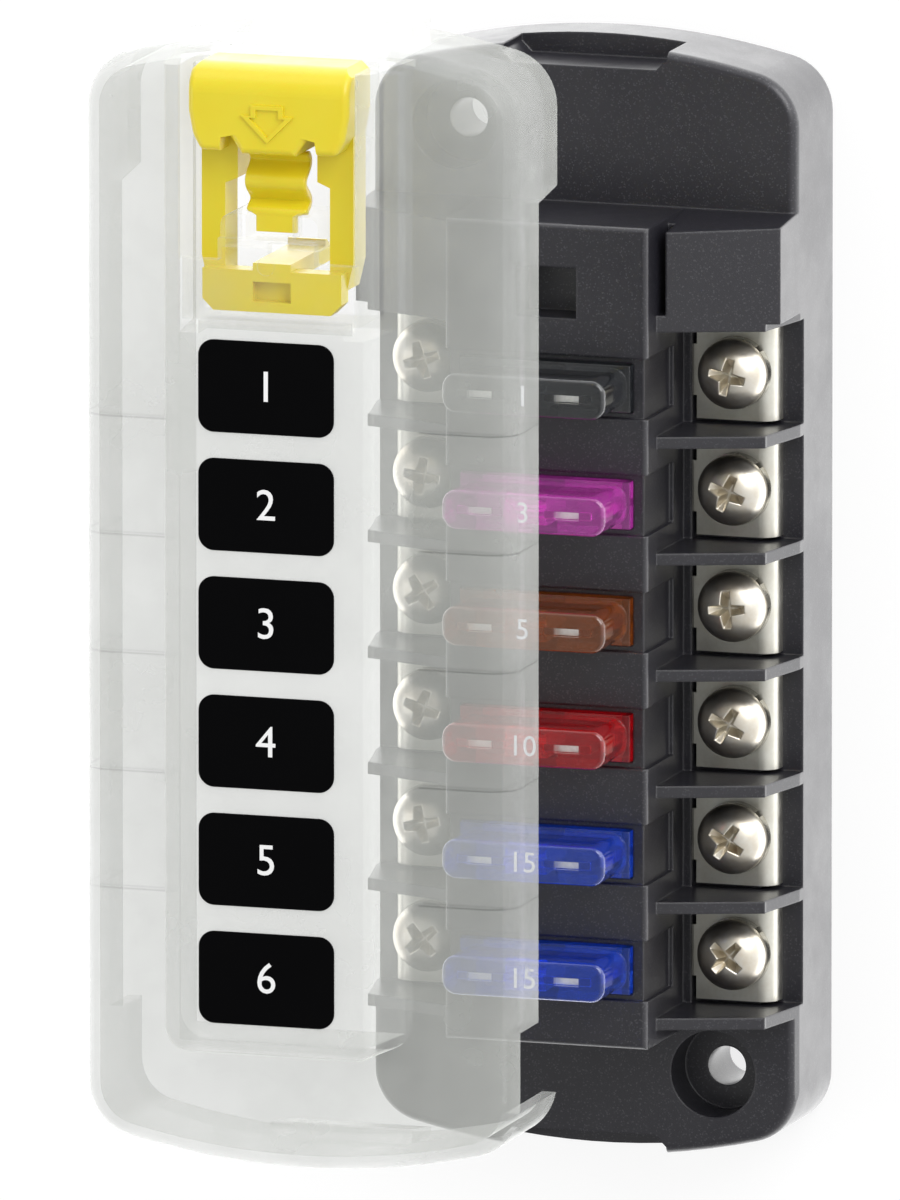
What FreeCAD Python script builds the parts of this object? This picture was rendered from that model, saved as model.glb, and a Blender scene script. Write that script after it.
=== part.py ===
import FreeCAD, Part
import math
import os
import Sketcher

# A six-circuit blade fuse block with its clear cover lifted off the base.
# X is the width, Y the length with the latch end at +Y, and Z comes out of the
# panel that the back face lies on. The origin is the centre of that back face.

NODE_FOLDER = "parts"
doc = FreeCAD.newDocument("FuseBlock")
sheet = doc.addObject("Spreadsheet::Sheet", "Sizes")


class Size:
    """A length together with the sheet formula that gives it."""

    def __init__(self, value, formula):
        self.value = float(value)
        self.formula = formula

    def __add__(self, other):
        other = as_size(other)
        return Size(self.value + other.value, f"({self.formula} + {other.formula})")

    def __sub__(self, other):
        other = as_size(other)
        return Size(self.value - other.value, f"({self.formula} - {other.formula})")

    def __mul__(self, factor):
        factor = as_size(factor)
        return Size(self.value * factor.value, f"({self.formula} * {factor.formula})")

    def __truediv__(self, factor):
        factor = as_size(factor)
        return Size(self.value / factor.value, f"({self.formula} / {factor.formula})")

    def __neg__(self):
        return Size(-self.value, f"(0 - {self.formula})")

    def __radd__(self, other):
        return as_size(other) + self

    def __rsub__(self, other):
        return as_size(other) - self

    def __rmul__(self, other):
        return as_size(other) * self


def as_size(number):
    """Turn a plain number into a Size that no cell drives."""
    if isinstance(number, Size):
        return number
    return Size(number, f"{number:.6g}" if number >= 0 else f"(0 - {-number:.6g})")


def root(size):
    """The square root of a Size."""
    return Size(math.sqrt(size.value), f"sqrt({size.formula})")


def cell(alias, number):
    """Write one driving dimension to the sheet and hand it back as a Size."""
    cell.row += 1
    sheet.set(f"A{cell.row}", alias)
    sheet.set(f"B{cell.row}", str(number))
    sheet.setAlias(f"B{cell.row}", alias)
    return Size(number, f"Sizes.{alias}")


cell.row = 0

# Overall block
terminal_bay_width = cell("terminal_bay_width", 12.5)
base_length = cell("base_length", 121.5)
overshoot = cell("overshoot", 1.0)
cut_overlap = cell("cut_overlap", 0.5)
end_arch_radius = cell("end_arch_radius", 80.0)
corner_radius = cell("corner_radius", 6.0)
front_edge_radius = cell("front_edge_radius", 1.0)
end_block_height = cell("end_block_height", 13.0)
raised_height = cell("raised_height", 23.3)
raised_edge_height = cell("raised_edge_height", 18.8)
divider_end_inset = cell("divider_end_inset", 1.5)
divider_end_foot = cell("divider_end_foot", 11.6)
column_edge_radius = cell("column_edge_radius", 0.6)
raised_low_drop = cell("raised_low_drop", 0.8)
raised_end_slope = cell("raised_end_slope", 1.0)
groove_start = cell("groove_start", 1.0)
column_height = cell("column_height", 26.6)
column_half_width = cell("column_half_width", 11.4)
column_top_end = cell("column_top_end", 43.4)
column_bottom_end = cell("column_bottom_end", 46.2)
bay_floor_height = cell("bay_floor_height", 10.4)

# Circuits
circuit_pitch = cell("circuit_pitch", 12.7)
first_circuit_y = cell("first_circuit_y", 25.9)
circuit_count = 6
divider_thickness = cell("divider_thickness", 1.3)
fuse_band_width = cell("fuse_band_width", 6.6)
fuse_band_depth = cell("fuse_band_depth", 0.5)
fuse_band_foot = cell("fuse_band_foot", 17.2)
side_groove_width = cell("side_groove_width", 0.9)
side_groove_depth = cell("side_groove_depth", 4.0)

# End notches that the cover's tabs enter
notch_half_width = cell("notch_half_width", 9.3)
notch_depth = cell("notch_depth", 2.5)
notch_floor_height = cell("notch_floor_height", 6.0)
notch_slope = cell("notch_slope", 1.2)

# Mounting holes
mount_hole_inset = cell("mount_hole_inset", 9.3)
mount_hole_y = cell("mount_hole_y", 51.1)
mount_hole_radius = cell("mount_hole_radius", 2.15)
counterbore_radius = cell("counterbore_radius", 4.75)
counterbore_depth = cell("counterbore_depth", 5.0)

# Catch pocket in the column's top end
pocket_half_width = cell("pocket_half_width", 3.4)
pocket_low_y = cell("pocket_low_y", 33.2)
pocket_high_y = cell("pocket_high_y", 38.7)
pocket_depth = cell("pocket_depth", 4.6)
undercut_reach = cell("undercut_reach", 1.1)
undercut_roof = cell("undercut_roof", 1.1)
undercut_height = cell("undercut_height", 2.2)

# Fuse
fuse_body_width = cell("fuse_body_width", 18.3)
fuse_body_thickness = cell("fuse_body_thickness", 4.3)
fuse_flange_width = cell("fuse_flange_width", 19.1)
fuse_flange_thickness = cell("fuse_flange_thickness", 5.1)
fuse_flange_height = cell("fuse_flange_height", 4.2)
fuse_body_rise = cell("fuse_body_rise", 7.8)
fuse_corner_radius = cell("fuse_corner_radius", 1.6)
fuse_top_radius = cell("fuse_top_radius", 0.5)
fuse_clearance = cell("fuse_clearance", 0.15)
fuse_wall = cell("fuse_wall", 0.8)
fuse_web = cell("fuse_web", 1.0)
fuse_flange_stand = cell("fuse_flange_stand", 0.3)
blade_width = cell("blade_width", 5.2)
blade_inner_x = cell("blade_inner_x", 2.3)
blade_thickness = cell("blade_thickness", 0.8)
blade_reach = cell("blade_reach", 6.8)
blade_tip = cell("blade_tip", 0.8)
element_play = cell("element_play", 0.05)
element_head_gap = cell("element_head_gap", 0.7)
link_height = cell("link_height", 2.4)
link_rise = cell("link_rise", 4.6)
link_bow = 1.6
test_slot_width = cell("test_slot_width", 2.8)
test_slot_depth = cell("test_slot_depth", 0.9)

# Terminal clip
strip_thickness = cell("strip_thickness", 0.9)
plate_height = cell("plate_height", 13.0)
plate_width = cell("plate_width", 10.6)
plate_inset = cell("plate_inset", 2.3)
plate_bend_radius = cell("plate_bend_radius", 1.9)
neck_width = cell("neck_width", 5.6)
neck_start_x = cell("neck_start_x", 12.7)
strip_inner_x = cell("strip_inner_x", 1.7)
lip_width = cell("lip_width", 1.0)
lip_height = cell("lip_height", 0.8)
leaf_thickness = cell("leaf_thickness", 0.5)
leaf_foot_y = cell("leaf_foot_y", 1.7)
leaf_pinch_height = cell("leaf_pinch_height", 4.2)
leaf_top_height = cell("leaf_top_height", 6.0)
leaf_flare = cell("leaf_flare", 0.7)
contact_clearance = cell("contact_clearance", 0.03)
cavity_clearance = cell("cavity_clearance", 0.3)
passage_play = cell("passage_play", 0.15)
leaf_inset = cell("leaf_inset", 0.1)

# Terminal screw and lock washer
screw_offset = cell("screw_offset", 5.8)
screw_radius = cell("screw_radius", 2.08)
screw_clearance = cell("screw_clearance", 0.06)
screw_bore_play = cell("screw_bore_play", 0.3)
screw_head_radius = cell("screw_head_radius", 3.85)
screw_head_rise = cell("screw_head_rise", 2.9)
screw_head_rim = cell("screw_head_rim", 0.25)
recess_reach = cell("recess_reach", 2.0)
recess_half_width = cell("recess_half_width", 0.52)
recess_depth = cell("recess_depth", 1.9)
recess_taper = 14
screw_length = cell("screw_length", 9.0)
screw_tip = cell("screw_tip", 0.7)
washer_radius = cell("washer_radius", 3.9)
washer_bore = cell("washer_bore", 2.2)
washer_thickness = cell("washer_thickness", 1.2)
washer_split = cell("washer_split", 0.7)
washer_turn = 45

# Cover
cover_wall = cell("cover_wall", 1.5)
wing_height = cell("wing_height", 28.8)
cover_height = cell("cover_height", 39.0)
cover_column_half = cell("cover_column_half", 11.5)
cover_column_foot = cell("cover_column_foot", 12.9)
cover_column_bottom = cell("cover_column_bottom", 46.9)
column_end_inset = cell("column_end_inset", 1.3)
cover_edge_radius = cell("cover_edge_radius", 3.0)
cover_crest_radius = cell("cover_crest_radius", 1.2)
cover_seat_gap = cell("cover_seat_gap", 0.1)
rim_step_gap = cell("rim_step_gap", 1.3)
rim_rise = cell("rim_rise", 0.7)
rim_end_inset = cell("rim_end_inset", 0.2)
rim_end_slope = cell("rim_end_slope", 1.0)
tab_gap = cell("tab_gap", 0.35)
tab_tip_thickness = cell("tab_tip_thickness", 0.7)
tab_inset = cell("tab_inset", 0.45)
tab_root = cell("tab_root", 1.0)
side_window_low = cell("side_window_low", 53.6)
cover_lift = cell("cover_lift", 75.0)
cover_shift_x = cell("cover_shift_x", 3.0)
cover_shift_y = cell("cover_shift_y", 15.0)

# Latch well in the cover
well_half_width = cell("well_half_width", 9.8)
well_depth = cell("well_depth", 8.4)
well_front_y = cell("well_front_y", 38.8)
bridge_end_y = cell("bridge_end_y", 32.1)
hook_opening_play = cell("hook_opening_play", 0.5)
hook_opening_low = cell("hook_opening_low", 0.3)
hook_opening_high = cell("hook_opening_high", 0.6)
bridge_tongue_half = cell("bridge_tongue_half", 5.4)
gate_y = cell("gate_y", 38.4)
gate_radius = cell("gate_radius", 0.95)
gate_rise = cell("gate_rise", 0.3)

# Latch
latch_play = cell("latch_play", 0.35)
latch_travel = cell("latch_travel", 2.4)
pad_length = cell("pad_length", 9.4)
pad_half_width = cell("pad_half_width", 8.9)
pad_recess = cell("pad_recess", 0.4)
pad_crown_radius = cell("pad_crown_radius", 3.0)
pad_face_radius = cell("pad_face_radius", 0.7)
pad_hip_radius = cell("pad_hip_radius", 2.5)
pad_ear_radius = cell("pad_ear_radius", 0.8)
pad_chamfer = cell("pad_chamfer", 0.9)
hip_high = cell("hip_high", 4.4)
hip_low = cell("hip_low", 1.8)
ear_inset = cell("ear_inset", 0.9)
ear_rise = cell("ear_rise", 0.2)
notch_width = cell("notch_width", 0.4)
notch_lean = cell("notch_lean", 0.2)
notch_rise = cell("notch_rise", 1.5)
notch_top_rise = cell("notch_top_rise", 1.7)
notch_inner = cell("notch_inner", 0.7)
pad_front_inset = cell("pad_front_inset", 0.4)
face_edge_min = cell("face_edge_min", 1.8)
arrow_half_width = cell("arrow_half_width", 2.9)
arrow_height = cell("arrow_height", 4.0)
arrow_line = cell("arrow_line", 0.45)
arrow_rise = cell("arrow_rise", 0.25)
arrow_neck_share = 0.62
arrow_head_share = 0.72
arrow_tip_lines = 1.3
arrow_stand_lines = 3
leg_outer_x = cell("leg_outer_x", 8.4)
leg_inner_x = cell("leg_inner_x", 5.0)
leg_height = cell("leg_height", 4.2)
leg_overlap = cell("leg_overlap", 2.0)
leg_widening = cell("leg_widening", 0.6)
leg_narrowing = cell("leg_narrowing", 0.8)
leg_end_taper = cell("leg_end_taper", 0.7)
catch_plate_half = cell("catch_plate_half", 7.7)
catch_plate_low_y = cell("catch_plate_low_y", 33.15)
catch_plate_high_y = cell("catch_plate_high_y", 37.6)
catch_plate_height = cell("catch_plate_height", 2.4)
plate_chamfer = cell("plate_chamfer", 1.2)
window_low = cell("window_low", 1.1)
window_high = cell("window_high", 0.2)
hook_half_width = cell("hook_half_width", 2.1)
hook_thickness = cell("hook_thickness", 1.8)
hook_lip = cell("hook_lip", 0.7)
hook_lip_height = cell("hook_lip_height", 1.5)
hook_lip_face = cell("hook_lip_face", 0.4)
hook_gap = cell("hook_gap", 0.3)

# Return spring of the latch
spring_half_width = cell("spring_half_width", 3.35)
spring_thickness = cell("spring_thickness", 0.9)
spring_length = cell("spring_length", 6.5)
spring_tongue = cell("spring_tongue", 2.15)
tongue_half_width = cell("tongue_half_width", 2.25)
spring_pocket_wall = cell("spring_pocket_wall", 1.2)
spring_stand = cell("spring_stand", 4.2)
holder_height = cell("holder_height", 7.5)
holder_length = cell("holder_length", 3.7)
holder_inset = cell("holder_inset", 1.2)
prong_radius = cell("prong_radius", 1.2)
spring_folds = 3
latch_touch = cell("latch_touch", 0.05)

# Labels
label_width = cell("label_width", 15.0)
label_height = cell("label_height", 9.9)
label_radius = cell("label_radius", 1.7)
label_thickness = cell("label_thickness", 0.2)
label_shift_y = cell("label_shift_y", 0.5)

doc.recompute()

half_width = column_half_width + terminal_bay_width
base_width = half_width * 2
half_length = base_length / 2
arch_sagitta = end_arch_radius - root(end_arch_radius * end_arch_radius - half_width * half_width)
side_end_y = half_length - arch_sagitta
mount_hole_x = half_width - mount_hole_inset
plate_outer_x = half_width - plate_inset
screw_x = column_half_width + screw_offset
well_floor_height = cover_height - well_depth
pad_top_height = cover_height - pad_recess
far = base_width


def circuit_y(index):
    """The Y of a circuit's centre line, counted from the latch end."""
    return first_circuit_y - circuit_pitch * index


def origin_feature(body, role):
    """A body's own origin plane or axis."""
    return next(item for item in body.Origin.OriginFeatures if item.Role == role)


def new_body(label):
    """An empty body with its own label."""
    body = doc.addObject("PartDesign::Body", label)
    body.Label = label
    return body


def place(body, x, y, z, turn=0):
    """Put a finished body in its place, turned about Z."""
    body.Placement = FreeCAD.Placement(
        FreeCAD.Vector(x.value, y.value, z.value),
        FreeCAD.Rotation(FreeCAD.Vector(0, 0, 1), turn))
    body.setExpression("Placement.Base.x", x.formula)
    body.setExpression("Placement.Base.y", y.formula)
    body.setExpression("Placement.Base.z", z.formula)


def new_sketch(body, role, label, height):
    """A sketch on a body's origin plane, raised by a height."""
    height = as_size(height)
    sketch = body.newObject("Sketcher::SketchObject", label)
    sketch.AttachmentSupport = [(origin_feature(body, role), "")]
    sketch.MapMode = "FlatFace"
    offset = FreeCAD.Vector(0, 0, height.value)
    sketch.AttachmentOffset = FreeCAD.Placement(offset, FreeCAD.Rotation())
    sketch.setExpression("AttachmentOffset.Base.z", height.formula)
    return sketch


def drive(sketch, kind, edge, *rest):
    """Add one driven constraint whose last argument is its Size."""
    size = as_size(rest[-1])
    number = sketch.addConstraint(Sketcher.Constraint(kind, edge, *rest[:-1], size.value))
    sketch.setExpression(f"Constraints[{number}]", size.formula)


def point(x, y):
    """A sketch point from two sizes."""
    return FreeCAD.Vector(as_size(x).value, as_size(y).value, 0)


def polygon(sketch, corners):
    """A closed run of straight lines, each corner held from the origin."""
    first = sketch.GeometryCount
    count = len(corners)
    for index in range(count):
        start = corners[index]
        end = corners[(index + 1) % count]
        sketch.addGeometry(Part.LineSegment(point(*start), point(*end)), False)
    for index in range(count):
        following = first + (index + 1) % count
        sketch.addConstraint(Sketcher.Constraint("Coincident", first + index, 2, following, 1))
    for index, (x, y) in enumerate(corners):
        drive(sketch, "DistanceX", first + index, 1, x)
        drive(sketch, "DistanceY", first + index, 1, y)


def rectangle(sketch, low_x, high_x, low_y, high_y):
    """A rectangle between two pairs of sizes."""
    polygon(sketch, [(low_x, low_y), (high_x, low_y), (high_x, high_y), (low_x, high_y)])


def circle(sketch, x, y, radius):
    """A circle held by its centre and radius."""
    radius = as_size(radius)
    edge = sketch.addGeometry(Part.Circle(point(x, y), FreeCAD.Vector(0, 0, 1), radius.value), False)
    drive(sketch, "DistanceX", edge, 3, x)
    drive(sketch, "DistanceY", edge, 3, y)
    drive(sketch, "Radius", edge, radius)


def arched_outline(sketch, inset):
    """The block's plan: straight sides and two arched ends, set in by a wall."""
    half = half_width - inset
    radius = end_arch_radius - inset
    reach = half_length - inset
    side = reach - (radius - root(radius * radius - half * half))
    sketch.addGeometry(Part.LineSegment(point(half, -side), point(half, side)), False)
    sketch.addGeometry(Part.Arc(point(half, side), point(0, reach), point(-half, side)), False)
    sketch.addGeometry(Part.LineSegment(point(-half, side), point(-half, -side)), False)
    sketch.addGeometry(Part.Arc(point(-half, -side), point(0, -reach), point(half, -side)), False)
    for index in range(4):
        following = (index + 1) % 4
        sketch.addConstraint(Sketcher.Constraint("Coincident", index, 2, following, 1))
    for edge, x, y in ((0, half, side), (2, -half, side)):
        drive(sketch, "DistanceX", edge, 1, x)
        drive(sketch, "DistanceX", edge, 2, x)
    drive(sketch, "DistanceY", 0, 1, -side)
    drive(sketch, "DistanceY", 0, 2, side)
    drive(sketch, "DistanceY", 2, 1, side)
    drive(sketch, "DistanceY", 2, 2, -side)
    drive(sketch, "Radius", 1, radius)
    drive(sketch, "Radius", 3, radius)


def pad(body, sketch, length, backward=False, both_ways=False):
    """Raise a sketch into a solid."""
    length = as_size(length)
    feature = body.newObject("PartDesign::Pad", sketch.Label + "_pad")
    feature.Profile = sketch
    feature.setExpression("Length", length.formula)
    feature.Reversed = backward
    feature.SideType = "Symmetric" if both_ways else "One side"
    return feature


def pocket(body, sketch, length, backward=False, both_ways=False):
    """Cut a sketch down into a solid."""
    length = as_size(length)
    feature = body.newObject("PartDesign::Pocket", sketch.Label + "_cut")
    feature.Profile = sketch
    feature.setExpression("Length", length.formula)
    feature.Reversed = backward
    feature.SideType = "Symmetric" if both_ways else "One side"
    return feature


def round_edges(body, label, radius, wanted):
    """Fillet the edges of the body's last feature that a test picks out."""
    doc.recompute()
    base = body.Tip
    names = [f"Edge{number}" for number, edge in enumerate(base.Shape.Edges, 1) if wanted(edge)]
    feature = body.newObject("PartDesign::Fillet", label)
    feature.Base = (base, names)
    feature.setExpression("Radius", radius.formula)
    return feature


def near(value, size):
    """Whether a coordinate lies at a size, to a hundredth of a millimetre."""
    return abs(value - as_size(size).value) < 0.01


def is_corner_edge(edge, half, side):
    """Whether an upright edge stands at a corner of an outline."""
    low = edge.Vertexes[0].Point
    high = edge.Vertexes[-1].Point
    upright = near(low.x, high.x) and near(low.y, high.y)
    return upright and near(abs(low.x), half) and near(abs(low.y), side)


def side_of(inset):
    """Where the straight sides of an outline end, set in by a wall."""
    half = half_width - inset
    radius = end_arch_radius - inset
    return (half_length - inset) - (radius - root(radius * radius - half * half))

# Heights and places that several pieces share
plate_under = plate_height - strip_thickness
passage_half = neck_width / 2 + passage_play
flange_top = column_height + fuse_flange_stand
flange_bottom = flange_top - fuse_flange_height
fuse_top = flange_top + fuse_body_rise
blade_outer_x = blade_inner_x + blade_width
divider_low_y = circuit_y(circuit_count) + circuit_pitch / 2 - divider_thickness / 2
bay_half = (circuit_pitch - divider_thickness) / 2
head_under = plate_height + washer_thickness
raised_low_y = circuit_y(0) + bay_half + raised_low_drop
column_end_y = half_length - column_end_inset
bridge_under = cover_height - cover_wall
catch_plate_under = bridge_under - latch_play - catch_plate_height
holder_low_y = well_front_y + holder_inset
holder_high_y = holder_low_y + holder_length
seat_low_y = holder_low_y + spring_pocket_wall
pad_low_y = holder_high_y + spring_length
pad_high_y = pad_low_y + pad_length


def base_housing():
    """The moulded base with its bays, column, fuse sockets and mounting holes."""
    body = new_body("base_housing")
    plan = new_sketch(body, "XY_Plane", "base_plan", 0)
    arched_outline(plan, as_size(0))
    pad(body, plan, end_block_height)
    round_edges(body, "base_corners", corner_radius,
                lambda edge: is_corner_edge(edge, half_width, side_end_y))
    round_edges(body, "base_rim", front_edge_radius, lambda edge: is_level_at(edge, end_block_height))

    step = new_sketch(body, "YZ_Plane", "raised_profile", 0)
    polygon(step, [(divider_low_y, bay_floor_height), (divider_low_y, raised_height),
                   (column_top_end - raised_end_slope, raised_height), (column_top_end, end_block_height),
                   (column_top_end, bay_floor_height)])
    pad(body, step, base_width, both_ways=True)
    slope_rails(body)
    ridge = new_sketch(body, "XY_Plane", "column_plan", bay_floor_height)
    rectangle(ridge, -column_half_width, column_half_width, -column_bottom_end, column_top_end)
    pad(body, ridge, column_height - bay_floor_height)
    round_edges(body, "column_rim", column_edge_radius, lambda edge: is_level_at(edge, column_height))

    repeated = circuit_cuts(body)
    doc.recompute()
    row = body.newObject("PartDesign::LinearPattern", "circuit_row")
    row.Originals = repeated
    row.Direction = (origin_feature(body, "Y_Axis"), [""])
    row.Reversed = True
    row.Mode = "Spacing"
    row.Occurrences = circuit_count
    row.setExpression("Offset", circuit_pitch.formula)
    body.Tip = row

    groove = new_sketch(body, "XY_Plane", "column_grooves", raised_height)
    for sign in (1, -1):
        inner = column_half_width * sign
        outer = (column_half_width + side_groove_width) * sign
        rectangle(groove, inner, outer, raised_low_y + groove_start, far)
    pocket(body, groove, side_groove_depth)
    end_notches(body)
    mounting_holes(body)
    catch_pocket(body)
    return body


def slope_rails(body):
    """Slope the raised rails down to the sides and lean the dividers' outer ends."""
    slope = new_sketch(body, "XZ_Plane", "rail_slope", 0)
    fall = (raised_height - raised_edge_height) / (half_width - column_half_width) * overshoot
    beyond = half_width + overshoot
    for sign in (1, -1):
        polygon(slope, [(column_half_width * sign, raised_height),
                        (beyond * sign, raised_edge_height - fall),
                        (beyond * sign, column_height), (column_half_width * sign, column_height)])
    pocket(body, slope, far * 4, both_ways=True)
    ends = new_sketch(body, "XZ_Plane", "divider_ends", -raised_low_y)
    for sign in (1, -1):
        polygon(ends, [((half_width - divider_end_inset) * sign, column_height),
                       ((half_width - divider_end_inset) * sign, raised_edge_height),
                       (half_width * sign, divider_end_foot), (beyond * sign, divider_end_foot),
                       (beyond * sign, column_height)])
    pocket(body, ends, far * 4, backward=True)


def circuit_cuts(body):
    """The first circuit's bays, strip passages, fuse socket and screw bores."""
    y = circuit_y(0)
    cuts = []
    bay = new_sketch(body, "XY_Plane", "terminal_bay", raised_height)
    lip = new_sketch(body, "XY_Plane", "bay_lip", raised_height)
    ledge = new_sketch(body, "XY_Plane", "bay_ledge", raised_height)
    passage = new_sketch(body, "XY_Plane", "strip_passage", plate_under)
    bores = new_sketch(body, "XY_Plane", "screw_bores", plate_under)
    band = new_sketch(body, "XY_Plane", "band_sides", column_height)
    contacts = new_sketch(body, "XY_Plane", "contact_cavities", flange_bottom)
    for sign in (1, -1):
        lip_edge = (column_half_width + lip_width) * sign
        ledge_edge = (plate_outer_x - plate_bend_radius) * sign
        rectangle(bay, lip_edge, far * sign, y - bay_half, y + bay_half)
        rectangle(lip, column_half_width * sign, lip_edge + cut_overlap * sign, y - bay_half, y + bay_half)
        rectangle(ledge, ledge_edge, far * sign, y - bay_half, y + bay_half)
        rectangle(passage, (strip_inner_x - cavity_clearance) * sign, lip_edge + cut_overlap * sign,
                  y - passage_half, y + passage_half)
        circle(bores, screw_x * sign, y, screw_radius + screw_bore_play)
        rectangle(band, (column_half_width - fuse_band_depth) * sign,
                  (column_half_width + lip_width / 2) * sign,
                  y - fuse_band_width / 2, y + fuse_band_width / 2)
        rectangle(contacts, (strip_inner_x - cavity_clearance) * sign,
                  (blade_outer_x + cavity_clearance) * sign,
                  y - passage_half, y + passage_half)
    cuts.append(pocket(body, bay, raised_height - plate_under))
    cuts.append(pocket(body, lip, raised_height - plate_height - lip_height))
    cuts.append(pocket(body, ledge, raised_height - bay_floor_height))
    cuts.append(pocket(body, passage, strip_thickness + contact_clearance, backward=True))
    cuts.append(pocket(body, bores, screw_length - washer_thickness))
    cuts.append(pocket(body, band, column_height - fuse_band_foot))

    crest = new_sketch(body, "XY_Plane", "band_crest", column_height)
    rectangle(crest, -far, far, y - fuse_band_width / 2, y + fuse_band_width / 2)
    cuts.append(pocket(body, crest, fuse_band_depth))
    socket = new_sketch(body, "XY_Plane", "fuse_socket", column_height)
    half_x = fuse_flange_width / 2 + fuse_clearance
    half_y = fuse_flange_thickness / 2 + fuse_clearance
    rectangle(socket, -half_x, half_x, y - half_y, y + half_y)
    cuts.append(pocket(body, socket, column_height - flange_bottom))
    cuts.append(pocket(body, contacts, flange_bottom - plate_under))
    return cuts


def end_notches(body):
    """The shallow notches in both ends that take the cover's tabs."""
    notch = new_sketch(body, "XY_Plane", "end_notches", end_block_height)
    inner = half_length - notch_depth
    for sign in (1, -1):
        polygon(notch, [((notch_half_width - notch_slope) * -1, inner * sign),
                        (notch_half_width - notch_slope, inner * sign),
                        (notch_half_width, (inner + notch_slope) * sign),
                        (notch_half_width, far * 2 * sign),
                        (-notch_half_width, far * 2 * sign),
                        (-notch_half_width, (inner + notch_slope) * sign)])
    pocket(body, notch, end_block_height - notch_floor_height)


def mounting_holes(body):
    """Two counterbored panel holes at opposite corners."""
    sunk = new_sketch(body, "XY_Plane", "counterbores", end_block_height)
    through = new_sketch(body, "XY_Plane", "panel_holes", end_block_height)
    for sign in (1, -1):
        circle(sunk, mount_hole_x * sign, -mount_hole_y * sign, counterbore_radius)
        circle(through, mount_hole_x * sign, -mount_hole_y * sign, mount_hole_radius)
    pocket(body, sunk, counterbore_depth)
    pocket(body, through, end_block_height)


def catch_pocket(body):
    """The pocket in the column's top end, undercut to hold the latch's hook."""
    mouth = new_sketch(body, "XY_Plane", "catch_mouth", column_height)
    rectangle(mouth, -pocket_half_width, pocket_half_width, pocket_low_y, pocket_high_y)
    pocket(body, mouth, pocket_depth)
    hollow = new_sketch(body, "YZ_Plane", "catch_undercut", 0)
    roof = column_height - undercut_roof
    rectangle(hollow, pocket_high_y - cut_overlap, pocket_high_y + undercut_reach,
              roof - undercut_height, roof)
    pocket(body, hollow, pocket_half_width * 2, both_ways=True)


def terminal_clip(label, side, index):
    """A tin-plated strip: the screw plate outside, a sprung contact inside."""
    body = new_body(label)
    strip = new_sketch(body, "XZ_Plane", label + "_strip", 0)
    leg_inner = plate_outer_x - strip_thickness
    polygon(strip, [(strip_inner_x, plate_under), (strip_inner_x, plate_height),
                    (plate_outer_x, plate_height), (plate_outer_x, bay_floor_height),
                    (leg_inner, bay_floor_height), (leg_inner, plate_under)])
    pad(body, strip, plate_width, both_ways=True)
    round_edges(body, label + "_bend_outside", plate_bend_radius,
                lambda edge: lies_at(edge, plate_outer_x, plate_height))
    round_edges(body, label + "_bend_inside", plate_bend_radius - strip_thickness,
                lambda edge: lies_at(edge, leg_inner, plate_under))
    shoulder = new_sketch(body, "XY_Plane", label + "_shoulders", plate_height)
    for sign in (1, -1):
        rectangle(shoulder, as_size(0), neck_start_x, neck_width / 2 * sign, far * sign)
    circle(shoulder, screw_x, 0, screw_radius + screw_clearance)
    pocket(body, shoulder, strip_thickness)
    leaves = new_sketch(body, "YZ_Plane", label + "_leaves", blade_inner_x + leaf_inset)
    foot = plate_height - strip_thickness / 2
    pinch = blade_thickness / 2 + contact_clearance
    for sign in (1, -1):
        polygon(leaves, [((leaf_foot_y - leaf_thickness) * sign, foot),
                         (pinch * sign, plate_height + leaf_pinch_height),
                         ((pinch + leaf_flare) * sign, plate_height + leaf_top_height),
                         ((pinch + leaf_flare + leaf_thickness) * sign, plate_height + leaf_top_height),
                         ((pinch + leaf_thickness) * sign, plate_height + leaf_pinch_height),
                         (leaf_foot_y * sign, foot)])
    pad(body, leaves, blade_width - leaf_inset * 2)
    place(body, as_size(0), circuit_y(index), as_size(0), 0 if side > 0 else 180)
    return body


def lies_at(edge, x, z):
    """Whether an edge that runs along Y lies at one X and Z."""
    ends = [vertex.Point for vertex in edge.Vertexes]
    return all(near(end.x, x) and near(end.z, z) for end in ends)


# How far each screw happens to be turned, in degrees, from the latch end down
SCREW_TURNS = {1: (-12, -22, 4, -28, -32, -42), -1: (18, -8, 33, -19, 12, 40)}


def terminal_screw(label, side, index):
    """A pan head screw whose shank passes the plate into the base."""
    body = new_body(label)
    profile = new_sketch(body, "XZ_Plane", label + "_profile", 0)
    tip = head_under - screw_length
    polygon(profile, [(0, tip), (screw_radius - screw_tip / 2, tip), (screw_radius, tip + screw_tip),
                      (screw_radius, head_under), (screw_head_radius, head_under),
                      (screw_head_radius, head_under + screw_head_rise),
                      (0, head_under + screw_head_rise)])
    turned = body.newObject("PartDesign::Revolution", label + "_turned")
    turned.Profile = profile
    turned.ReferenceAxis = (profile, ["V_Axis"])
    turned.Angle = 360
    crown = screw_head_rise - screw_head_rim
    round_edges(body, label + "_crown", crown,
                lambda edge: is_circle(edge, screw_head_radius, head_under + screw_head_rise))
    recess = new_sketch(body, "XY_Plane", label + "_recess", head_under + screw_head_rise)
    arm = [(recess_half_width, recess_half_width), (recess_half_width, recess_reach),
           (-recess_half_width, recess_reach)]
    corners = list(arm)
    for turn in range(3):
        arm = [(-y, x) for x, y in arm]
        corners += arm
    polygon(recess, corners)
    pocket(body, recess, recess_depth).TaperAngle = recess_taper
    place(body, screw_x * side, circuit_y(index), as_size(0), SCREW_TURNS[side][index])
    return body


def is_circle(edge, radius, height):
    """Whether an edge is a level circle of one radius at one height."""
    curve = edge.Curve
    if not isinstance(curve, Part.Circle):
        return False
    return near(curve.Radius, radius) and near(curve.Center.z, height)


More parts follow.
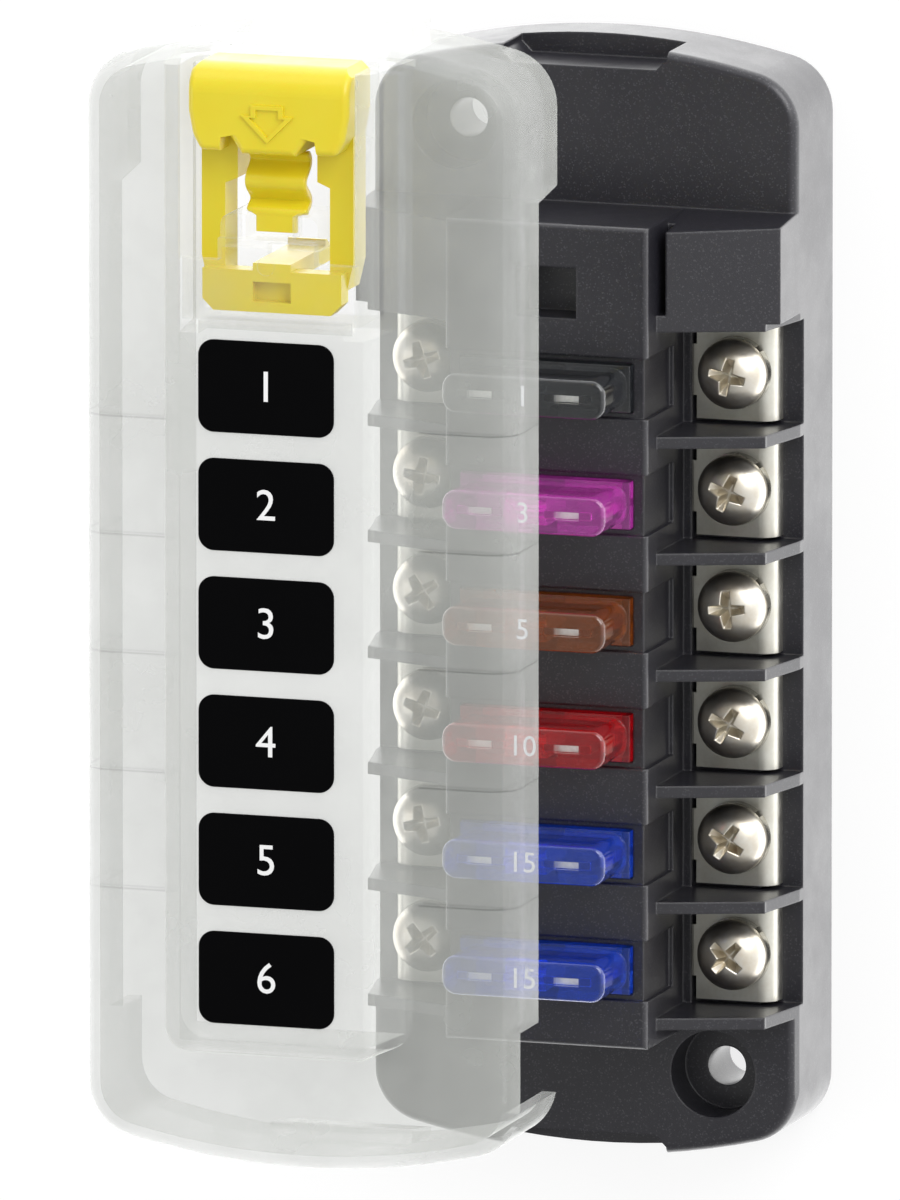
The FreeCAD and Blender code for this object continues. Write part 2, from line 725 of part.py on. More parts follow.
def lock_washer(label, side, index):
    """A split lock washer under the screw's head."""
    body = new_body(label)
    ring = new_sketch(body, "XY_Plane", label + "_ring", plate_height)
    circle(ring, 0, 0, washer_radius)
    circle(ring, 0, 0, washer_bore)
    pad(body, ring, washer_thickness)
    split = new_sketch(body, "XY_Plane", label + "_split", head_under)
    rectangle(split, as_size(0), washer_radius + overshoot, -washer_split / 2, washer_split / 2)
    pocket(body, split, washer_thickness)
    place(body, screw_x * side, circuit_y(index), as_size(0), washer_turn)
    return body


def fuse_body(label, index):
    """The moulded housing of a blade fuse, open below for its blades."""
    body = new_body(label)
    half_x = fuse_flange_width / 2
    half_y = fuse_flange_thickness / 2
    flange = new_sketch(body, "XY_Plane", label + "_flange", flange_bottom)
    rectangle(flange, -half_x, half_x, -half_y, half_y)
    pad(body, flange, fuse_flange_height)
    upper = new_sketch(body, "XY_Plane", label + "_upper", flange_top)
    top_x = fuse_body_width / 2
    top_y = fuse_body_thickness / 2
    rectangle(upper, -top_x, top_x, -top_y, top_y)
    pad(body, upper, fuse_body_rise)
    round_edges(body, label + "_ends", fuse_corner_radius,
                lambda edge: is_upright_at(edge, top_x, top_y))
    round_edges(body, label + "_crest", fuse_top_radius, lambda edge: is_level_at(edge, fuse_top))
    slot = new_sketch(body, "XY_Plane", label + "_slot", flange_bottom)
    slot_y = blade_thickness / 2 + element_play
    rectangle(slot, -blade_outer_x - element_play, blade_outer_x + element_play, -slot_y, slot_y)
    head = fuse_top - element_head_gap
    pocket(body, slot, head - flange_bottom, backward=True)
    middle = new_sketch(body, "XY_Plane", label + "_middle", flange_bottom)
    rectangle(middle, -blade_inner_x, blade_inner_x, -top_y + fuse_wall, top_y - fuse_wall)
    pocket(body, middle, head - fuse_web - flange_bottom, backward=True)
    test = new_sketch(body, "XY_Plane", label + "_test_slots", fuse_top)
    centre = blade_inner_x + blade_width / 2
    for sign in (1, -1):
        rectangle(test, (centre - test_slot_width / 2) * sign, (centre + test_slot_width / 2) * sign,
                  -test_slot_depth / 2, test_slot_depth / 2)
    pocket(body, test, element_head_gap)
    place(body, as_size(0), circuit_y(index), as_size(0))
    return body


def is_upright_at(edge, x, y):
    """Whether an upright edge stands at plus or minus one X and Y."""
    ends = [vertex.Point for vertex in edge.Vertexes]
    if len(ends) < 2 or not near(ends[0].x, ends[1].x) or not near(ends[0].y, ends[1].y):
        return False
    return near(abs(ends[0].x), x) and near(abs(ends[0].y), y)


def is_level_at(edge, height):
    """Whether an edge lies level at one height."""
    box = edge.BoundBox
    return near(box.ZMin, height) and near(box.ZMax, height)


def fuse_element(label, index):
    """The zinc strip of a blade fuse: two blades joined by a thin link."""
    body = new_body(label)
    outline = new_sketch(body, "XZ_Plane", label + "_outline", 0)
    low = flange_bottom - blade_reach
    high = fuse_top - element_head_gap
    link = flange_bottom + link_rise
    inner = blade_inner_x
    outer = blade_outer_x
    right = [(inner, link), (inner, low + blade_tip), (inner + blade_tip, low),
             (outer - blade_tip, low), (outer, low + blade_tip), (outer, high),
             (inner, high), (inner, link + link_height)]
    left = [(-x, z) for x, z in reversed(right)]
    crest = link + link_height * link_bow
    polygon(outline, right + [(0, crest)] + left + [(0, crest - link_height)])
    pad(body, outline, blade_thickness, both_ways=True)
    place(body, as_size(0), circuit_y(index), as_size(0))
    return body


def place_off(body):
    """Put a piece of the lifted cover where the cover is held clear of the base."""
    place(body, -cover_shift_x, cover_shift_y, cover_lift)


def column_section(inset, low, high):
    """The cover column's sloped cross-section, set in by a wall, between two heights."""
    slope = (cover_column_foot - cover_column_half) / (cover_height - wing_height)
    low_x = cover_column_foot - slope * (low - wing_height) - inset
    high_x = cover_column_foot - slope * (high - wing_height) - inset
    return [(-low_x, low), (low_x, low), (high_x, high), (-high_x, high)]


def cover_shell():
    """The clear cover: two wings, a raised column, end tabs and the latch well."""
    body = new_body("cover_shell")
    rim = end_block_height + cover_seat_gap
    plan = new_sketch(body, "XY_Plane", "cover_plan", rim)
    arched_outline(plan, as_size(0))
    pad(body, plan, wing_height - rim)
    inner = new_sketch(body, "XY_Plane", "cover_inside", rim)
    arched_outline(inner, cover_wall)
    pocket(body, inner, wing_height - cover_wall - rim, backward=True)
    inner_side = side_of(cover_wall)
    round_edges(body, "inside_corners", corner_radius - cover_wall,
                lambda edge: is_corner_edge(edge, half_width - cover_wall, inner_side))
    round_edges(body, "cover_corners", corner_radius,
                lambda edge: is_corner_edge(edge, half_width, side_end_y))
    round_edges(body, "cover_edges", cover_edge_radius, lambda edge: is_level_at(edge, wing_height))
    cover_column(body)
    latch_well(body)
    rim_cuts(body, rim)
    cover_tabs(body, rim)
    place_off(body)
    return body


def cover_column(body):
    """The raised column along the cover's middle and the space inside it."""
    column = new_sketch(body, "XZ_Plane", "cover_column", cover_column_bottom)
    polygon(column, column_section(0, wing_height - cover_wall / 2, cover_height))
    pad(body, column, cover_column_bottom + column_end_y, backward=True)
    round_edges(body, "column_crests", cover_crest_radius, is_crest_edge)
    round_edges(body, "column_foot_end", cover_edge_radius, is_foot_edge)
    under = wing_height - cover_wall * 2
    main = new_sketch(body, "XZ_Plane", "column_inside", cover_column_bottom - cover_wall)
    polygon(main, column_section(cover_wall, under, cover_height - cover_wall))
    pocket(body, main, cover_column_bottom + bridge_end_y - cover_wall * 2)
    lower = new_sketch(body, "XZ_Plane", "under_well", cover_wall - bridge_end_y)
    polygon(lower, column_section(cover_wall, under, well_floor_height - cover_wall))
    pocket(body, lower, column_end_y - bridge_end_y)


def is_crest_edge(edge):
    """Whether an edge runs along the cover column's top."""
    return is_level_at(edge, cover_height) and edge.BoundBox.YLength > edge.BoundBox.XLength


def is_foot_edge(edge):
    """Whether an edge crosses the cover column's lower end."""
    box = edge.BoundBox
    return near(box.YMax, -cover_column_bottom) and near(box.ZMax, cover_height)


def latch_well(body):
    """The well that the latch slides in, with its bridge, spring pocket and hook opening."""
    well = new_sketch(body, "XY_Plane", "well_opening", cover_height)
    rectangle(well, -well_half_width, well_half_width, well_front_y, half_length)
    pocket(body, well, cover_height - well_floor_height)
    bridge = new_sketch(body, "XY_Plane", "bridge_space", well_floor_height)
    rectangle(bridge, -well_half_width, well_half_width, bridge_end_y, well_front_y + overshoot)
    pocket(body, bridge, bridge_under - well_floor_height, backward=True)
    slot = new_sketch(body, "XY_Plane", "plate_slot", bridge_under)
    slot_half = catch_plate_half + latch_play
    rectangle(slot, -slot_half, slot_half, bridge_end_y - cover_wall * 2, bridge_end_y + overshoot)
    pocket(body, slot, catch_plate_height + latch_play * 2)
    opening = new_sketch(body, "XY_Plane", "hook_opening", well_floor_height)
    side = hook_half_width + hook_opening_play
    rectangle(opening, -side, side, pocket_low_y + hook_opening_low, pocket_high_y + hook_opening_high)
    pocket(body, opening, cover_wall * 2)
    holder = new_sketch(body, "XY_Plane", "spring_holder", well_floor_height)
    outer = bridge_tongue_half
    rectangle(holder, -outer, outer, holder_low_y, holder_high_y)
    pad(body, holder, holder_height)
    round_edges(body, "prong_tips", prong_radius,
                lambda edge: is_upright_at(edge, outer, holder_high_y))
    ceiling = new_sketch(body, "XY_Plane", "bridge_tongue", bridge_under)
    rectangle(ceiling, -outer, outer, well_front_y - cut_overlap, seat_low_y)
    pad(body, ceiling, cover_wall)
    seat = new_sketch(body, "XY_Plane", "spring_seat", well_floor_height + holder_height)
    inner = tongue_half_width + latch_play
    rectangle(seat, -inner, inner, seat_low_y, holder_high_y)
    pocket(body, seat, holder_height - spring_stand + latch_touch)
    gate = new_sketch(body, "XY_Plane", "gate_mark", cover_height)
    circle(gate, 0, gate_y, gate_radius)
    pad(body, gate, gate_rise)


def rim_cuts(body, rim):
    """The side walls' higher rim along the terminals and the window by the lower screw hole."""
    sides = new_sketch(body, "YZ_Plane", "terminal_rim", 0)
    low = rim - overshoot
    high = raised_edge_height + rim_rise
    near_end = divider_low_y - rim_step_gap
    slope_top = column_top_end - rim_end_inset
    polygon(sides, [(near_end, low), (near_end, high), (slope_top, high), (slope_top + rim_end_slope, low)])
    pocket(body, sides, far * 2, both_ways=True)
    window = new_sketch(body, "XY_Plane", "side_window", rim)
    rectangle(window, half_width - cover_wall * 2, far, -side_window_low, near_end + overshoot)
    pocket(body, window, wing_height - cover_edge_radius - rim, backward=True)


def cover_tabs(body, rim):
    """Tapered tabs under both end walls that enter the base's notches."""
    tabs = new_sketch(body, "YZ_Plane", "end_tabs", 0)
    outer = half_length - tab_inset
    inner = half_length - notch_depth + tab_gap
    tip = notch_floor_height + tab_gap
    root_z = rim + tab_root
    for sign in (1, -1):
        polygon(tabs, [(inner * sign, root_z), (outer * sign, root_z), (outer * sign, tip),
                       ((outer - tab_tip_thickness) * sign, tip), (inner * sign, rim)])
    pad(body, tabs, (notch_half_width - notch_slope - tab_gap) * 2, both_ways=True)


def latch_slider():
    """The yellow latch: thumb pad, two legs, catch plate and hook in one moulding."""
    body = new_body("latch_slider")
    floor = well_floor_height + latch_play
    plan = new_sketch(body, "XY_Plane", "latch_pad", floor)
    ear_low = pad_low_y + ear_rise
    right = [(pad_half_width - pad_chamfer, pad_high_y), (pad_half_width, pad_high_y - pad_chamfer),
             (pad_half_width, pad_low_y + hip_high), (leg_outer_x, pad_low_y + hip_low),
             (leg_outer_x - ear_inset, ear_low), (leg_inner_x + notch_width, ear_low),
             (leg_inner_x + notch_lean, ear_low + notch_rise),
             (leg_inner_x - notch_inner, ear_low + notch_top_rise),
             (spring_half_width - pad_front_inset, pad_low_y)]
    left = [(-x, y) for x, y in reversed(right)]
    polygon(plan, right + left)
    pad(body, plan, pad_top_height - floor)
    round_edges(body, "pad_hips", pad_hip_radius, is_pad_hip)
    round_edges(body, "pad_ears", pad_ear_radius, is_pad_ear)
    round_edges(body, "pad_crown", pad_crown_radius, is_pad_crown)
    round_edges(body, "pad_face", pad_face_radius, is_pad_face)
    pad_arrow(body)
    legs = new_sketch(body, "XY_Plane", "latch_legs", floor)
    plate_top = catch_plate_high_y
    holder_top = holder_high_y + latch_travel + latch_play
    leg_root = pad_low_y + leg_overlap
    leg_end = plate_top - leg_overlap
    for sign in (1, -1):
        wide_x = (leg_inner_x - leg_widening) * sign
        narrow_x = (leg_inner_x + leg_narrowing) * sign
        polygon(legs, [(leg_outer_x * sign, leg_root), (wide_x, leg_root),
                       (wide_x, holder_top + leg_widening), (narrow_x, holder_top),
                       (narrow_x, leg_end), ((leg_outer_x - leg_end_taper) * sign, leg_end),
                       (leg_outer_x * sign, plate_top + overshoot)])
    pad(body, legs, leg_height)
    catch = new_sketch(body, "XY_Plane", "catch_plate", catch_plate_under)
    plate_low = catch_plate_low_y
    cut_x = catch_plate_half - plate_chamfer
    cut_y = plate_low + plate_chamfer
    polygon(catch, [(cut_x, plate_low), (catch_plate_half, cut_y), (catch_plate_half, plate_top),
                    (-catch_plate_half, plate_top), (-catch_plate_half, cut_y), (-cut_x, plate_low)])
    pad(body, catch, catch_plate_height)
    hook = new_sketch(body, "YZ_Plane", "latch_hook", 0)
    face = pocket_high_y - hook_gap
    back = face - hook_thickness
    lip_top = column_height - undercut_roof - hook_gap
    lip_low = lip_top - hook_lip_height
    stem_top = catch_plate_under + catch_plate_height
    polygon(hook, [(back, stem_top), (back, lip_low), (face, lip_low),
                   (face + hook_lip, lip_top - hook_lip_face), (face + hook_lip, lip_top),
                   (face, lip_top), (face, stem_top)])
    pad(body, hook, hook_half_width * 2, both_ways=True)
    window = new_sketch(body, "XY_Plane", "catch_window", stem_top)
    rectangle(window, -hook_half_width, hook_half_width, plate_low + window_low, back - window_high)
    pocket(body, window, catch_plate_height / 2)
    place_off(body)
    return body


def is_pad_crown(edge):
    """Whether an edge runs across the thumb pad's far top end."""
    box = edge.BoundBox
    return near(box.ZMin, pad_top_height) and near(box.YMin, pad_high_y)


def is_pad_hip(edge):
    """Whether an upright edge of the thumb pad turns from its side to an ear."""
    side = is_upright_at(edge, pad_half_width, pad_low_y + hip_high)
    return side or is_upright_at(edge, leg_outer_x, pad_low_y + hip_low)


def is_pad_ear(edge):
    """Whether an upright edge stands at the outer corner of an ear."""
    return is_upright_at(edge, leg_outer_x - ear_inset, pad_low_y + ear_rise)


def is_pad_face(edge):
    """Whether an edge bounds the thumb pad's front face, the notches' short sides aside."""
    return is_level_at(edge, pad_top_height) and edge.Length > face_edge_min.value


def pad_arrow(body):
    """A raised outline on the thumb pad that shows which way it slides."""
    arrow = new_sketch(body, "XY_Plane", "pad_arrow", pad_top_height)
    tip_y = pad_low_y + arrow_line * arrow_stand_lines
    for inset in (0, 1):
        line = arrow_line * inset
        half = arrow_half_width - line * 2
        neck = half * arrow_neck_share
        shoulder = tip_y + arrow_height * arrow_head_share - line / 2
        top = tip_y + arrow_height - line
        polygon(arrow, [(0, tip_y + line * arrow_tip_lines), (half, shoulder), (neck, shoulder), (neck, top),
                        (-neck, top), (-neck, shoulder), (-half, shoulder)])
    pad(body, arrow, arrow_rise)


def latch_spring():
    """The latch's folded leaf spring, a wave of half circles that ends in a tongue."""
    half = spring_thickness.value / 2
    start_y = (pad_low_y - latch_touch).value - half
    bend_y = (seat_low_y + latch_play + spring_tongue).value + half
    radius = (start_y - bend_y) / (spring_folds * 2)
    mid_z = (well_floor_height + spring_stand).value
    over = []
    under = []
    for fold in range(spring_folds):
        centre = FreeCAD.Vector(0, start_y - radius * (2 * fold + 1), mid_z)
        rise = fold % 2 * 2 - 1
        over.append(half_ring(centre, radius + half * rise, rise))
        under.append(half_ring(centre, radius - half * rise, rise))
    tongue_end = bend_y - half - spring_tongue.value
    corners = [FreeCAD.Vector(0, bend_y - half, mid_z),
               FreeCAD.Vector(0, tongue_end, mid_z),
               FreeCAD.Vector(0, tongue_end, mid_z + half * 2),
               FreeCAD.Vector(0, bend_y + half, mid_z + half * 2),
               FreeCAD.Vector(0, bend_y + half, mid_z)]
    ends = [FreeCAD.Vector(0, start_y - half, mid_z), FreeCAD.Vector(0, start_y + half, mid_z)]
    outline = over + [Part.makePolygon(corners)] + under + [Part.makePolygon(ends)]
    edges = [edge for piece in outline for edge in piece.Edges]
    face = Part.Face(Part.Wire(Part.__sortEdges__(edges)))
    wide = spring_half_width.value
    narrow = tongue_half_width.value
    face.translate(FreeCAD.Vector(-wide, 0, 0))
    wave = face.extrude(FreeCAD.Vector(wide * 2, 0, 0))
    for low_x in (-wide, narrow):
        corner = FreeCAD.Vector(low_x, tongue_end, mid_z - half)
        trim = Part.makeBox(wide - narrow, spring_tongue.value, half * 4, corner)
        wave = wave.cut(trim)
    spring = doc.addObject("Part::Feature", "latch_spring")
    spring.Label = "latch_spring"
    spring.Shape = wave
    place_off(spring)
    return spring


def half_ring(centre, radius, rise):
    """Half a circle from a fold's pad side to its tongue side."""
    start = centre + FreeCAD.Vector(0, radius, 0)
    crown = centre + FreeCAD.Vector(0, 0, radius * rise)
    end = centre - FreeCAD.Vector(0, radius, 0)
    return Part.Arc(start, crown, end).toShape()


def circuit_label(label, index):
    """A thin rounded label over one circuit on the cover's column."""
    body = new_body(label)
    plate = new_sketch(body, "XY_Plane", label + "_plate", cover_height)
    rectangle(plate, -label_width / 2, label_width / 2, -label_height / 2, label_height / 2)
    pad(body, plate, label_thickness)
    round_edges(body, label + "_corners", label_radius,
                lambda edge: is_upright_at(edge, label_width / 2, label_height / 2))
    place(body, -cover_shift_x, circuit_y(index) - label_shift_y + cover_shift_y, cover_lift)
    return body


base_housing()
SIDES = (("left", -1), ("right", 1))
for number in range(circuit_count):
    for side_name, side in SIDES:
        terminal_clip(f"terminal_clip_{side_name}_{number + 1}", side, number)
        terminal_screw(f"terminal_screw_{side_name}_{number + 1}", side, number)
        lock_washer(f"lock_washer_{side_name}_{number + 1}", side, number)
    fuse_body(f"fuse_body_{number + 1}", number)
    fuse_element(f"fuse_element_{number + 1}", number)
    circuit_label(f"circuit_label_{number + 1}", number)
cover_shell()
latch_slider()
latch_spring()
doc.recompute()

for item in doc.Objects:
    if "Invalid" in item.State or "Error" in item.State:
        raise RuntimeError(f"{item.Label} failed: {item.State}")
os.makedirs(NODE_FOLDER, exist_ok=True)
for item in doc.Objects:
    if item.TypeId in ("PartDesign::Body", "Part::Feature"):
        if item.Shape.isNull() or not item.Shape.isValid():
            raise RuntimeError(f"{item.Label} has no valid shape")
        item.Shape.exportStep(f"{NODE_FOLDER}/{item.Label}.step")
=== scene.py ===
"""Looks for the fuse block: finishes, printed numbers, floor, light and camera.

Every length is in metres and every place is in the CAD model's own frame: the base's
back lies on the floor at Z = 0, Y runs towards the latch end and Z out of the panel.
"""

import logging
import math
from dataclasses import dataclass, field
from enum import Enum
from typing import Any, Dict, List, Sequence, Tuple

import bpy
import numpy as np
from mathutils import Matrix, Vector


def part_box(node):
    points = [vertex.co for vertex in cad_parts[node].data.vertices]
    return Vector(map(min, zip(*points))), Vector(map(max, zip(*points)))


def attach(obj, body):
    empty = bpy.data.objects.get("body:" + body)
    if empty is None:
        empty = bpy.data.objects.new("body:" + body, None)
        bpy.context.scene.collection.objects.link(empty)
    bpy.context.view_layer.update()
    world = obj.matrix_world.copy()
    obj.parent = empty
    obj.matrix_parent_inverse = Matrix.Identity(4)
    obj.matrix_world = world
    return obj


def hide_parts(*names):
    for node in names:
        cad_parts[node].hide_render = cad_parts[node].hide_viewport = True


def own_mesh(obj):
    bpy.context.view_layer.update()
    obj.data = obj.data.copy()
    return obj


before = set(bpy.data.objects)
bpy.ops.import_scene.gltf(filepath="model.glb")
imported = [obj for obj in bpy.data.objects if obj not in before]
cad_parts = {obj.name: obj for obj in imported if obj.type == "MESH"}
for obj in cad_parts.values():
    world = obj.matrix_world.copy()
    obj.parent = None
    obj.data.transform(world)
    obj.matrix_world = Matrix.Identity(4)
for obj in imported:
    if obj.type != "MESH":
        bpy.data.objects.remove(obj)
LOG = logging.getLogger("fuse_block")
MM = 0.001
CIRCUITS = 6
SIDES = ("left", "right")

Colour = Tuple[float, float, float, float]
Array = np.ndarray
Span = Tuple[float, float]
Place = Tuple[float, float, float]
Socket = bpy.types.NodeSocket
Node = bpy.types.Node
Material = bpy.types.Material
Piece = bpy.types.Object

DISPLAY_TOP = 255.0
CURVE_KNEE = 0.04045
CURVE_SLOPE = 12.92
CURVE_OFFSET = 0.055
CURVE_POWER = 2.4
ROUNDING_SAMPLES = 6


def colour(red: int, green: int, blue: int) -> Colour:
    """Linear, opaque colour from 0-255 display values.

    The display curve is a straight line below its knee and a power above it.

    Args:
        red: Display red.
        green: Display green.
        blue: Display blue.

    Returns:
        The linear colour with full opacity.
    """
    parts = np.array([red, green, blue]) / DISPLAY_TOP
    power = ((parts + CURVE_OFFSET) / (1 + CURVE_OFFSET)) ** CURVE_POWER
    linear = np.where(parts <= CURVE_KNEE, parts / CURVE_SLOPE, power)
    return (float(linear[0]), float(linear[1]), float(linear[2]), 1.0)


def smooth(part: Array) -> Array:
    """An S-curve from 0 to 1: three times the square less twice the cube."""
    return part * part * (3.0 - 2.0 * part)


# Shader building blocks


@dataclass
class Graph:
    """A node tree with short calls for adding and joining nodes."""

    tree: bpy.types.NodeTree

    def add(self, kind: str, **settings: Any) -> Node:
        """Adds a node.

        Args:
            kind: The node's type name.
            settings: Attributes to set on it.

        Returns:
            The new node.
        """
        node = self.tree.nodes.new(kind)
        for name, value in settings.items():
            setattr(node, name, value)
        return node

    def join(self, source: Socket, target: Socket) -> None:
        """Links two sockets."""
        self.tree.links.new(source, target)

    def maths(self, operation: str, first: Any, second: Any = None, clamp: bool = False) -> Socket:
        """Adds a Math node.

        Args:
            operation: The operation's name.
            first: A socket or a number.
            second: A socket, a number or nothing.
            clamp: Whether the result stays between 0 and 1.

        Returns:
            The result's socket.
        """
        node = self.add("ShaderNodeMath", operation=operation, use_clamp=clamp)
        for place, value in enumerate((first, second)):
            if isinstance(value, bpy.types.NodeSocket):
                self.join(value, node.inputs[place])
            elif value is not None:
                node.inputs[place].default_value = value
        return node.outputs[0]

    def ramp(self, source: Socket, low: float, high: float,
             out_low: float = 0.0, out_high: float = 1.0) -> Socket:
        """Maps a range onto another, smoothly at both ends.

        Args:
            source: The value to map.
            low: Start of its range.
            high: End of its range.
            out_low: What the start becomes.
            out_high: What the end becomes.

        Returns:
            The result's socket.
        """
        node = self.add("ShaderNodeMapRange", interpolation_type="SMOOTHSTEP")
        self.join(source, node.inputs["Value"])
        for name, value in (("From Min", low), ("From Max", high),
                            ("To Min", out_low), ("To Max", out_high)):
            node.inputs[name].default_value = value
        return node.outputs["Result"]

    def axes(self, kind: str) -> Node:
        """The surface's place by axis.

        Args:
            kind: Which coordinates, by their socket's name.

        Returns:
            A node with outputs X, Y and Z.
        """
        place = self.add("ShaderNodeTexCoord")
        split = self.add("ShaderNodeSeparateXYZ")
        self.join(place.outputs[kind], split.inputs["Vector"])
        return split

    def rounding(self, bump: Node, radius: float) -> None:
        """Makes sharp edges catch the light as if they were rounded.

        Args:
            bump: The bump node that the rounding goes under.
            radius: The rounding's radius.
        """
        edge = self.add("ShaderNodeBevel")
        edge.samples = ROUNDING_SAMPLES
        edge.inputs["Radius"].default_value = radius
        self.join(edge.outputs["Normal"], bump.inputs["Normal"])


class Effect(Enum):
    """The surface effects that several finishes share."""

    SPARK_GRAIN = "spark_grain"
    SOFT_CLOUD = "soft_cloud"
    HANDLING = "handling"


@dataclass
class EffectLibrary:
    """Builds each shared effect once and places it in materials."""

    built: Dict[Effect, bpy.types.NodeTree] = field(default_factory=dict)
    grain_detail: float = 3.0
    cell_share: float = 0.6
    grain_noise_share: float = 0.7
    facet_span: Span = (0.86, 0.98)
    cloud_detail: float = 2.0
    cloud_fine_scale: float = 6.0
    cloud_wide_share: float = 0.7
    cloud_span: Span = (0.3, 0.7)
    rub_detail: float = 5.0
    rub_stretch: Place = (0.12, 1.0, 1.0)
    rub_turn: Place = (0.0, 0.0, 0.4)

    def group(self, effect: Effect) -> bpy.types.NodeTree:
        """Finds an effect's node group, and builds it the first time.

        Args:
            effect: Which effect.

        Returns:
            Its node group.
        """
        makers = {Effect.SPARK_GRAIN: self._spark_grain, Effect.SOFT_CLOUD: self._soft_cloud,
                  Effect.HANDLING: self._handling}
        if effect not in self.built:
            self.built[effect] = makers[effect]()
        return self.built[effect]

    @staticmethod
    def _new(effect: Effect, inputs: Sequence[Tuple[str, float]],
             outputs: Sequence[str]) -> Tuple[Graph, Node, Node, Node]:
        """Makes a group with its sockets and the nodes that every effect needs.

        Args:
            effect: The effect, which names the group.
            inputs: Names and starting values of its number inputs.
            outputs: Names of its number outputs.

        Returns:
            The group's graph, its entry, its exit and its coordinates.
        """
        tree = bpy.data.node_groups.new(effect.value, "ShaderNodeTree")
        for label, value in inputs:
            socket = tree.interface.new_socket(name=label, in_out="INPUT",
                                               socket_type="NodeSocketFloat")
            socket.default_value = value
        for label in outputs:
            tree.interface.new_socket(name=label, in_out="OUTPUT", socket_type="NodeSocketFloat")
        graph = Graph(tree)
        entry = graph.add("NodeGroupInput")
        leave = graph.add("NodeGroupOutput")
        return graph, entry, leave, graph.add("ShaderNodeTexCoord")

    def _spark_grain(self) -> bpy.types.NodeTree:
        """Spark-eroded mould grain: fine cells over finer noise, with rare cells marked for
        painted glints.

        Returns:
            The node group.
        """
        graph, entry, leave, place = self._new(
            Effect.SPARK_GRAIN, (("Scale", 3000.0), ("Facets", 0.5)), ("Height", "Facet"))
        cells = graph.add("ShaderNodeTexVoronoi", feature="F1")
        noise = graph.add("ShaderNodeTexNoise")
        noise.inputs["Detail"].default_value = self.grain_detail
        for node in (cells, noise):
            graph.join(place.outputs["Object"], node.inputs["Vector"])
            graph.join(entry.outputs["Scale"], node.inputs["Scale"])
        height = graph.maths(
            "ADD", graph.maths("MULTIPLY", cells.outputs["Distance"], self.cell_share),
            graph.maths("MULTIPLY", noise.outputs["Fac"], self.grain_noise_share))
        graph.join(height, leave.inputs["Height"])
        # The second output marks rare cells, which a finish paints lighter as painted glints.
        split = graph.add("ShaderNodeSeparateColor")
        graph.join(cells.outputs["Color"], split.inputs["Color"])
        glint = graph.ramp(split.outputs["Red"], *self.facet_span)
        graph.join(graph.maths("MULTIPLY", glint, entry.outputs["Facets"]), leave.inputs["Facet"])
        return graph.tree

    def _soft_cloud(self) -> bpy.types.NodeTree:
        """Slow drift in a surface, from two noises of different size.

        Returns:
            The node group.
        """
        graph, entry, leave, place = self._new(
            Effect.SOFT_CLOUD, (("Scale", 60.0), ("Low", 0.4), ("High", 0.6)), ("Value",))
        wide = graph.add("ShaderNodeTexNoise")
        fine = graph.add("ShaderNodeTexNoise")
        for node in (wide, fine):
            node.inputs["Detail"].default_value = self.cloud_detail
            graph.join(place.outputs["Object"], node.inputs["Vector"])
        graph.join(entry.outputs["Scale"], wide.inputs["Scale"])
        graph.join(graph.maths("MULTIPLY", entry.outputs["Scale"], self.cloud_fine_scale),
                   fine.inputs["Scale"])
        mean = graph.maths(
            "ADD", graph.maths("MULTIPLY", wide.outputs["Fac"], self.cloud_wide_share),
            graph.maths("MULTIPLY", fine.outputs["Fac"], 1.0 - self.cloud_wide_share))
        mapped = graph.add("ShaderNodeMapRange", interpolation_type="SMOOTHSTEP")
        graph.join(mean, mapped.inputs["Value"])
        for name, value in zip(("From Min", "From Max"), self.cloud_span):
            mapped.inputs[name].default_value = value
        graph.join(entry.outputs["Low"], mapped.inputs["To Min"])
        graph.join(entry.outputs["High"], mapped.inputs["To Max"])
        graph.join(mapped.outputs["Result"], leave.inputs["Value"])
        return graph.tree

    def _handling(self) -> bpy.types.NodeTree:
        """Fine rubbing marks: long thin noise, stretched along X, that dulls a polished metal.

        Returns:
            The node group.
        """
        graph, entry, leave, place = self._new(
            Effect.HANDLING, (("Scale", 300.0), ("Amount", 0.1)), ("Value",))
        stretch = graph.add("ShaderNodeMapping")
        stretch.inputs["Scale"].default_value = self.rub_stretch
        stretch.inputs["Rotation"].default_value = self.rub_turn
        noise = graph.add("ShaderNodeTexNoise")
        noise.inputs["Detail"].default_value = self.rub_detail
        graph.join(place.outputs["Object"], stretch.inputs["Vector"])
        graph.join(stretch.outputs["Vector"], noise.inputs["Vector"])
        graph.join(entry.outputs["Scale"], noise.inputs["Scale"])
        centred = graph.maths("SUBTRACT", noise.outputs["Fac"], 0.5)
        graph.join(graph.maths("MULTIPLY", centred, entry.outputs["Amount"]),
                   leave.inputs["Value"])
        return graph.tree


EFFECTS = EffectLibrary()


